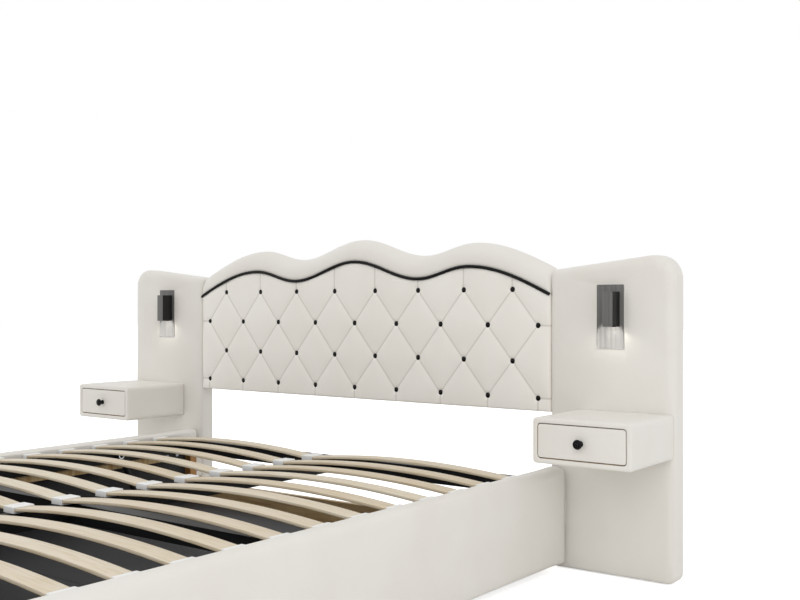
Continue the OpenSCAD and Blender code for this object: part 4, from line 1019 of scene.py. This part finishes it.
class BED_OT_wing_covers(bpy.types.Operator):
    """Pad the two wings"""
    bl_idname = "bed.wing_covers"
    bl_label = "Wing Covers"

    def execute(self, context):
        sizes = context.scene.bed_panels
        low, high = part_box("right_wing_pad")
        soft = sizes.panel_round + 3 * MM
        rounds = (soft, soft, sizes.wing_foot_round, sizes.wing_top_round)
        top, spare = sizes.wing_outer_top, 15 * MM
        cover = wing_block("right_wing_cover", low, (high.x, high.y + spare, top),
                           sizes.wing_inner_top, rounds)
        soften(cover, sizes.panel_round, 6, y=low.y)
        stand_low, stand_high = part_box("right_stand_cover")
        plate_low, plate_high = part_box("lamp_plates")
        rim, middle = 16 * MM, (low.x + high.x) / 2
        plate_side, plate_end = 50 * MM, 4 * MM    # how much round a lamp's plate is held down

        def loose(place):
            """True on the face and the outer side, but not where something is fixed to them."""
            x, y, z = place
            behind_stand = stand_low.x < x < stand_high.x and stand_low.z < z < stand_high.z
            behind_plate = (abs(x - middle) < plate_side
                            and plate_low.z - plate_end < z < plate_high.z + plate_end)
            return (y < low.y + sizes.panel_round and low.x + rim < x and z > low.z + rim
                    and not behind_stand and not behind_plate)
        upholster(cover, 7 * MM, loose, sizes.puff)
        cut(cover, box_piece("spare_end", (low.x - spare, high.y, low.z - spare),
                             (high.x + spare, high.y + 2 * spare, top + spare)))
        inset, end = 8 * MM, 2 * MM
        cut(cover, wing_block("wing_recess", (low.x + inset, BOARD_Y, low.z + inset),
                              (high.x - inset, high.y + end, top - inset),
                              sizes.wing_inner_top - inset,
                              [max(r - inset, 4 * MM) for r in rounds]))
        twin = mirrored(cover, "left_wing_cover")
        for side, piece in (("right", cover), ("left", twin)):
            dress_padded(piece, [f"{side}_wing_pad"])
        return {"FINISHED"}


class BED_OT_rail_covers(bpy.types.Operator):
    """Pad the side rails and the foot rail"""
    bl_idname = "bed.rail_covers"
    bl_label = "Rail Covers"

    def execute(self, context):
        sizes = context.scene.bed_panels
        low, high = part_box("right_rail_cover")
        board_low, board_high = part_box("right_rail_board")
        lining_low, lining_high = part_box("rail_linings")
        held = 4 * MM        # depth of the inner side, which the board holds
        held_end = 20 * MM   # length of a rail's end that the simulation leaves as it is
        over = 1 * MM        # how far a cutting block stands out of the padding
        low_inner, low_outer, top_inner = 6 * MM, 12 * MM, 14 * MM    # rounds of the long edges

        side = box_piece("right_rail_padding", low, high)
        for x, z, radius in ((low.x, low.z, low_inner), (high.x, low.z, low_outer),
                             (high.x, high.z, sizes.rail_round), (low.x, high.z, top_inner)):
            soften(side, radius, 6, x=x, z=z)
        soften(side, sizes.rail_end_round, 5, y=high.y)
        soften(side, 2.5 * MM, 3, y=low.y)
        inner, first, last = low.x + held, low.y + held_end, high.y - held_end
        upholster(side, 8 * MM, lambda p: p[0] > inner and first < p[1] < last, sizes.puff)
        cut(side, box_piece("board_room", (board_low.x, low.y - over, board_low.z), board_high))
        cut(side, box_piece("lining_room", (low.x - over, low.y - over, lining_low.z),
                            (board_low.x + over, board_high.y, lining_high.z)))
        twin = mirrored(side, "left_rail_padding")

        low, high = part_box("foot_rail_cover")
        board_low, board_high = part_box("foot_rail_board")
        foot = box_piece("foot_rail_padding", low, high)
        for x in (low.x, high.x):
            soften(foot, sizes.rail_round, 6, x=x, y=low.y)
        for z, radius in ((low.z, low_inner), (high.z, top_inner)):
            soften(foot, radius, 6, y=high.y, z=z)
        soften(foot, low_outer, 5, z=low.z)
        soften(foot, sizes.rail_round - 1 * MM, 6, z=high.z)
        upholster(foot, 8 * MM,
                  lambda p: p[1] < high.y - held and abs(p[0]) < high.x - held_end, sizes.puff)
        cut(foot, box_piece("board_room", board_low, board_high))
        cut(foot, box_piece("lining_room", (board_low.x, board_high.y - over, lining_low.z),
                            (board_high.x, high.y + over, lining_high.z)))
        for piece, node in ((side, "right_rail_cover"), (twin, "left_rail_cover"),
                            (foot, "foot_rail_cover")):
            dress_padded(piece, [node])
        return {"FINISHED"}


class BED_OT_nightstand_covers(bpy.types.Operator):
    """Cover the two floating nightstands"""
    bl_idname = "bed.nightstand_covers"
    bl_label = "Nightstand Covers"

    def execute(self, context):
        sizes = context.scene.bed_panels
        low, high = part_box("right_stand_cover")
        case_low, case_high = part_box("right_stand_case")
        front_low, front_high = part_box("right_drawer_front")
        gap = Vector((2 * MM, 0, 2 * MM))    # between a drawer's front and its opening
        open_low, open_high = front_low - gap, front_high + gap
        over, deep, rim = 10 * MM, 30 * MM, 12 * MM
        cover = box_piece("right_nightstand_cover", low, high)
        soften_corners(cover, low, high, sizes.stand_round, 5)
        soften(cover, sizes.stand_round * 0.6, 4, y=low.y)
        hole = box_piece("opening", (open_low.x, low.y - over, open_low.z),
                         (open_high.x, low.y + deep, open_high.z))
        soften_corners(hole, open_low, open_high, sizes.opening_round, 6)
        cut(cover, hole)
        upholster(cover, 4 * MM, lambda p: low.y + rim < p[1] < high.y - rim, sizes.puff * 0.5)
        cut(cover, box_piece("case_room", case_low, (case_high.x, high.y + over, case_high.z)))
        twin = mirrored(cover, "left_nightstand_cover")
        for side, piece in (("right", cover), ("left", twin)):
            dress_padded(piece, [f"{side}_stand_cover"])
        return {"FINISHED"}


class BED_OT_drawer_fronts(bpy.types.Operator):
    """Pad the two drawer fronts"""
    bl_idname = "bed.drawer_fronts"
    bl_label = "Drawer Fronts"

    def execute(self, context):
        sizes = context.scene.bed_panels
        low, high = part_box("right_drawer_front")
        front = box_piece("right_drawer_pad", low, high)
        soften_corners(front, low, high, sizes.drawer_round, 6)
        soften(front, 3 * MM, 4, y=low.y)
        rim = 8 * MM
        upholster(front, 3 * MM,
                  lambda p: p[1] < low.y + 2 * MM and low.x + rim < p[0] < high.x - rim
                  and low.z + rim < p[2] < high.z - rim, sizes.puff * 0.4)
        twin = mirrored(front, "left_drawer_pad")
        for side, piece in (("right", front), ("left", twin)):
            dress_padded(piece, [f"{side}_drawer_front"], body=f"{side}_drawer")
        return {"FINISHED"}


class BED_OT_drawer_knobs(bpy.types.Operator):
    """Turn the two drawer knobs with their ring"""
    bl_idname = "bed.drawer_knobs"
    bl_label = "Drawer Knobs"

    def execute(self, context):
        for side in SIDES:
            low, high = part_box(f"{side}_drawer_knob")
            r, seat = (high.x - low.x) / 2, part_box(f"{side}_drawer_front")[0].y
            out = seat - low.y
            ring = out * 0.74    # where the ring round the knob's cap starts to turn in
            profile = [(0, seat - high.y), (2 * MM, seat - high.y), (2 * MM, 0.2 * MM),
                       (r * 0.66, 0.2 * MM), (r * 0.62, 1.5 * MM), (r * 0.5, out * 0.4),
                       (r * 0.56, out * 0.5), (r * 0.9, out * 0.66)]
            profile += [(r - 3 * MM * (1 - math.cos(t)), ring + 4 * MM * math.sin(t))
                        for t in quarter(6)]
            profile += [(r * 0.62, ring + 4.4 * MM), (r * 0.56, ring + 3.4 * MM),
                        (r * 0.48, ring + 3.4 * MM), (r * 0.42, ring + 4.8 * MM),
                        (r * 0.2, out - 0.2 * MM), (0, out)]
            centre = ((low.x + high.x) / 2, seat, (low.z + high.z) / 2)
            knob = turned(f"{side}_knob", profile, centre, steps=48)
            dress(knob, "knob", [f"{side}_drawer_knob"], body=f"{side}_drawer")
        return {"FINISHED"}


# ---- reading lamps ----------------------------------------------------------------------------

BEAM_ANGLE, BEAM_BLEND = 150, 0.35    # of a reading lamp, wide and soft, in degrees
GLOW_BLEND = 0.12
GLOW_DROP, GLOW_SIDE, GLOW_RADIUS = 50 * MM, 14 * MM, 52 * MM    # of the glow on a plate
GLOW_FROM = Vector((0, -270 * MM, -130 * MM))    # where the glow's lamp stands, from its middle


def side_boxes(node):
    """The two corner pairs of a node that has one solid on each side of the bed."""
    points = points_of(frame["nodes"][node].data)
    halves = {"left": points[points[:, 0] < 0], "right": points[points[:, 0] > 0]}
    return {side: (Vector(half.min(0)), Vector(half.max(0))) for side, half in halves.items()}


def look(obj, direction):
    """Turns a lamp or a camera to look in a direction."""
    obj.rotation_mode = "QUATERNION"
    obj.rotation_quaternion = Vector(direction).to_track_quat("-Z", "Y")


def spot_lamp(name, place, aim, power, angle, blend):
    """A small spot lamp at a place, aimed at another."""
    bpy.ops.object.light_add(type="SPOT", location=place)
    spot = bpy.context.object
    spot.name = name
    look(spot, aim - place)
    spot.data.energy, spot.data.color = power, bpy.context.scene.bed_finishes.lamp_white[:3]
    spot.data.spot_size, spot.data.spot_blend = math.radians(angle), blend
    spot.data.shadow_soft_size = 6 * MM
    return spot


class BED_OT_reading_lamps(bpy.types.Operator):
    """Build the two reading lamps and light them"""
    bl_idname = "bed.reading_lamps"
    bl_label = "Reading Lamps"

    def execute(self, context):
        studio = context.scene.bed_studio
        glowing = bpy.data.collections.new("lamp_plates_in_their_glow")
        plates, housings, lenses = [], [], []
        for side, (low, high) in side_boxes("lamp_plates").items():
            plate = box_piece(f"plate_{side}", low, high)
            soften_corners(plate, low, high, 3 * MM, 5)
            soften(plate, 0.6 * MM, 2, y=low.y)
            plates.append(plate)
        for side, (low, high) in side_boxes("lamp_housings").items():
            housing = box_piece(f"housing_{side}", low, high)
            for x in (low.x, high.x):
                soften(housing, 1.2 * MM, 3, x=x, y=low.y)
            soften(housing, 0.8 * MM, 2, z=high.z)
            choose(housing, "FACE", on(housing, z=low.z))
            bpy.ops.mesh.inset(thickness=1.5 * MM)
            bpy.ops.mesh.extrude_region_move(
                TRANSFORM_OT_translate={"value": (0, 0, high.z - low.z - 3 * MM)})
            bpy.ops.object.mode_set(mode="OBJECT")
            outwards(housing)
            housing.data.materials.append(finish_of("lamp_housing"))
            housing.data.materials.append(finish_of("lamp_plate"))
            for face in housing.data.polygons:
                face.material_index = int(face.normal.y < -0.5)
            housings.append(housing)
        for side, (low, high) in side_boxes("lamp_lenses").items():
            lens = box_piece(f"lens_{side}", low, high)
            soften(lens, 0.5 * MM, 2, z=low.z)
            lenses.append(lens)
            under = Vector(((low.x + high.x) / 2, (low.y + high.y) / 2, low.z - 2.5 * MM))
            spot_lamp(f"reading_light_{side}", under, under + Vector((0, 0, -1)),
                      studio.lamp_light, BEAM_ANGLE, BEAM_BLEND)
            middle = Vector((under.x - GLOW_SIDE, FACE_Y, low.z - GLOW_DROP))
            glow_angle = math.degrees(2 * math.atan(GLOW_RADIUS / GLOW_FROM.length))
            glow = spot_lamp(f"plate_light_{side}", middle + GLOW_FROM, middle,
                             studio.plate_light, glow_angle, GLOW_BLEND)
            glow.visible_glossy = False
            glow.light_linking.receiver_collection = glowing
        for parts, name, slot, node in ((plates, "lamp_wall_plates", "lamp_plate", "lamp_plates"),
                                        (housings, "lamp_boxes", "lamp_housing", "lamp_housings"),
                                        (lenses, "lamp_diffusers", "lamp_lens", "lamp_lenses")):
            dress(joined(parts, name), slot, [node])
        glowing.objects.link(bpy.data.objects["lamp_wall_plates"])
        return {"FINISHED"}


# ---- slats ------------------------------------------------------------------------------------


def slat_spacing():
    """Y of the first slat's middle, at the foot, and the distance from one slat to the next."""
    sizes = bpy.context.scene.bed_slats
    low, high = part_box("right_slats")
    return low.y + sizes.width / 2, (high.y - low.y - sizes.width) / (sizes.count - 1)


def slat_column(piece, name):
    """One object with a copy of a piece at each slat's place, from the foot to the head."""
    first, pitch = slat_spacing()
    count = bpy.context.scene.bed_slats.count
    return repeated(piece, name, [(0, first + k * pitch, 0) for k in range(count)])


def bowed_bar(name, play=0.0):
    """One bowed slat of the right column at Y 0, or a bar around it when play is given."""
    sizes = bpy.context.scene.bed_slats
    low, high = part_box("right_slats")
    chord = high.x - low.x
    bow = high.z - low.z - sizes.thickness
    radius = (chord ** 2 / 4 + bow ** 2) / (2 * bow)
    sweep = 2 * math.asin(chord / 2 / (radius + sizes.thickness))
    centre = Vector(((low.x + high.x) / 2, 0, high.z - sizes.thickness - radius))
    half, thick = sizes.width / 2 + play, sizes.thickness + 2 * play
    extra = 2 * play / radius
    bar = box_piece(name, (centre.x, -half, centre.z + radius - play),
                    (centre.x + 1 * MM, half, centre.z + radius - play + thick))
    choose(bar, "FACE", lambda face: face.normal.x < 0.5)
    bpy.ops.mesh.delete(type="FACE")
    bpy.ops.object.mode_set(mode="OBJECT")
    turn = Matrix.Rotation(sweep / 2 + extra, 4, "Y")
    shift = Matrix.Translation(centre)
    bar.data.transform(Matrix.Translation((-1 * MM, 0, 0)))
    bar.data.transform(shift @ turn @ shift.inverted())
    pick(bar)
    bpy.ops.object.mode_set(mode="EDIT")
    bpy.ops.mesh.select_all(action="SELECT")
    bpy.ops.mesh.spin(steps=28, angle=sweep + 2 * extra, center=centre, axis=(0, 1, 0))
    bpy.ops.object.mode_set(mode="OBJECT")
    outwards(bar)
    return bar


class BED_OT_slats(bpy.types.Operator):
    """Bow the two columns of slats"""
    bl_idname = "bed.slats"
    bl_label = "Slats"

    def execute(self, context):
        bar = bowed_bar("slat")
        modify(bar, "BEVEL", width=context.scene.bed_slats.edge, segments=2, limit_method="ANGLE",
               angle_limit=math.radians(50))
        bar.data.materials.append(finish_of("slat_wood"))
        bar.data.materials.append(birch_edge_and_shade("birch_laminate_edge_and_shade", context.scene.bed_finishes))
        # the lower bevels, which face down, take the browner edge: the laminate's edge and painted
        # shade
        for face in bar.data.polygons:
            face.material_index = int(face.normal.z < -0.2 and abs(face.normal.y) > 0.2)
        right = slat_column(bar, "right_bowed_slats")
        for side, piece in (("right", right), ("left", mirrored(right, "left_bowed_slats"))):
            dress(piece, "slat_wood", [f"{side}_slats"], body="deck")
        return {"FINISHED"}


def holder(name, low, high, pockets):
    """A moulded holder between two corners with its slat pockets cut out."""
    block = box_piece(name, low, high)
    modify(block, "BEVEL", width=2.2 * MM, segments=3)
    for pocket in pockets:
        cut(block, pocket)
    return block


class BED_OT_slat_holders(bpy.types.Operator):
    """Mould the slats' end caps and centre holders"""
    bl_idname = "bed.slat_holders"
    bl_label = "Slat Holders"

    def execute(self, context):
        sizes = context.scene.bed_slats
        half = sizes.width / 2 + sizes.holder_wall
        play = 0.3 * MM
        low, high = side_boxes("slat_end_caps")["right"]
        cap = holder("cap", (high.x - sizes.cap_grip, -half, low.z), (high.x, half, high.z),
                     [bowed_bar("pocket", play)])
        right = slat_column(cap, "right_caps")
        whole = joined([right, mirrored(right, "left_caps")], "slat_caps")
        dress(whole, "white_plastic", ["slat_end_caps"], body="deck")
        low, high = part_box("slat_centre_holders")
        pocket = bowed_bar("pocket", play)
        groove_half, groove_deep, over = 1.5 * MM, 1.6 * MM, 1 * MM
        groove = box_piece("groove", (-groove_half, -half - over, high.z - groove_deep),
                           (groove_half, half + over, high.z + over))
        middle = holder("middle", (low.x, -half, low.z), (high.x, half, high.z),
                        [mirrored(pocket, "other_pocket"), pocket, groove])
        dress(slat_column(middle, "slat_middle_holders"), "white_plastic",
              ["slat_centre_holders"], body="deck")
        return {"FINISHED"}


# ---- finishes of the frame's own nodes --------------------------------------------------------

SEEN_BRACKETS = "rail_head_brackets"    # painted like the leather, as they show beside the wings


class BED_OT_frame_finishes(bpy.types.Operator):
    """Give each node of the frame the material of its slot"""
    bl_idname = "bed.frame_finishes"
    bl_label = "Frame Finishes"

    def execute(self, context):
        for part in frame["record"]["subparts"]:
            node = frame["nodes"][part["node"]]
            slot = "cream_steel" if part["node"] == SEEN_BRACKETS else part["material_slot"]
            node.data.materials.clear()
            node.data.materials.append(finish_of(slot))
        return {"FINISHED"}


# ---- studio -----------------------------------------------------------------------------------

FLOOR_SIZE = 60
FLOOR_LIFT = 0.7     # light that the camera sees the floor give, so that its edge is lost
DUST_WIDTH = 1 / 1.2
KEY_PLACE, KEY_AIM, KEY_SIZE = Vector((3.2, -3.6, 3.0)), Vector((0.4, 0.6, 0.5)), 3.0
SENSOR_WIDTH = 36.0  # of the camera, in millimetres


def white_room(context):
    """A world that shows white and lights the bed evenly."""
    world = bpy.data.worlds.new("white_room")
    context.scene.world = world
    world.use_nodes = True
    tree = world.node_tree
    tree.nodes.clear()
    ray = add_node(tree, "LightPath").outputs
    seen = calculated(tree, "MAXIMUM", ray["Is Camera Ray"], ray["Is Transmission Ray"])
    seen = calculated(tree, "MAXIMUM", seen, ray["Is Glossy Ray"])
    strength = spread(tree, seen, context.scene.bed_studio.room_light, 1.0)
    shine = add_node(tree, "Background", {"Color": WHITE, "Strength": strength})
    add_node(tree, "OutputWorld", {"Surface": shine.outputs[0]})


def pale_floor():
    """A matt white studio floor that meets the white room unseen."""
    made, tree, place = started("matt_white_floor")
    tone = ramp(tree, noise(tree, place, DUST_WIDTH, 3.0), (0.0, linear("#F7F7F6")),
                (1.0, linear("#FAFAF9")))
    matt = add_node(tree, "BsdfDiffuse", {"Color": tone})
    ray = add_node(tree, "LightPath").outputs
    lift = calculated(tree, "MULTIPLY", ray["Is Camera Ray"], FLOOR_LIFT)
    shine = add_node(tree, "Emission", {"Color": WHITE, "Strength": lift})
    both = add_node(tree, "AddShader", {0: matt.outputs[0], 1: shine.outputs[0]})
    add_node(tree, "OutputMaterial", {"Surface": both.outputs[0]})
    return made


class BED_OT_studio(bpy.types.Operator):
    """Set the floor, the light and the camera"""
    bl_idname = "bed.studio"
    bl_label = "Studio"

    def execute(self, context):
        studio = context.scene.bed_studio
        deselect()
        bpy.ops.mesh.primitive_plane_add(size=FLOOR_SIZE)
        floor = context.object
        floor.name = "studio_floor"
        floor.data.materials.append(pale_floor())
        white_room(context)
        bpy.ops.object.light_add(type="AREA", location=KEY_PLACE)
        key = context.object
        key.name = "soft_key"
        look(key, KEY_AIM - key.location)
        key.data.energy, key.data.shape = studio.key_light, "DISK"
        key.data.size = KEY_SIZE
        bpy.ops.object.camera_add(location=studio.camera_place)
        camera = context.object
        camera.name = "photo_camera"
        look(camera, studio.view_direction)
        camera.data.lens, camera.data.sensor_width = studio.lens, SENSOR_WIDTH
        camera.data.shift_y = studio.shift
        context.scene.camera = camera
        context.scene.view_settings.view_transform = "Standard"
        return {"FINISHED"}


# ---- registration -----------------------------------------------------------------------------

STEPS = (
    BED_OT_headboard_cover, BED_OT_headboard_roll, BED_OT_headboard_piping,
    BED_OT_headboard_buttons, BED_OT_wing_covers, BED_OT_rail_covers, BED_OT_nightstand_covers,
    BED_OT_drawer_fronts, BED_OT_drawer_knobs, BED_OT_reading_lamps, BED_OT_slats,
    BED_OT_slat_holders, BED_OT_frame_finishes, BED_OT_studio,
)
GROUPS = {"bed_headboard": HeadboardSizes, "bed_panels": PanelSizes, "bed_slats": SlatSizes,
          "bed_finishes": Finishes, "bed_studio": StudioSettings}


class BED_PT_panel(bpy.types.Panel):
    """The bed's pieces, in the order in which they are built"""
    bl_idname = "BED_PT_panel"
    bl_label = "Bed"
    bl_space_type = "VIEW_3D"
    bl_region_type = "UI"
    bl_category = "Bed"

    def draw(self, context):
        for step in STEPS:
            self.layout.operator(step.bl_idname)
        for name, group in GROUPS.items():
            box = self.layout.box()
            for field in group.__annotations__:
                box.prop(getattr(context.scene, name), field)


def register():
    """Registers the settings, the operators and the panel."""
    for name, group in GROUPS.items():
        bpy.utils.register_class(group)
        setattr(bpy.types.Scene, name, PointerProperty(type=group))
    for step in (*STEPS, BED_PT_panel):
        bpy.utils.register_class(step)


def unregister():
    """Takes all of it back."""
    for step in (BED_PT_panel, *reversed(STEPS)):
        bpy.utils.unregister_class(step)
    for name, group in GROUPS.items():
        delattr(bpy.types.Scene, name)
        bpy.utils.unregister_class(group)


def main():
    """Registers the add-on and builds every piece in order."""
    register()
    for step in STEPS:
        area, name = step.bl_idname.split(".")
        getattr(getattr(bpy.ops, area), name)()


if __name__ == "__main__":
    main()
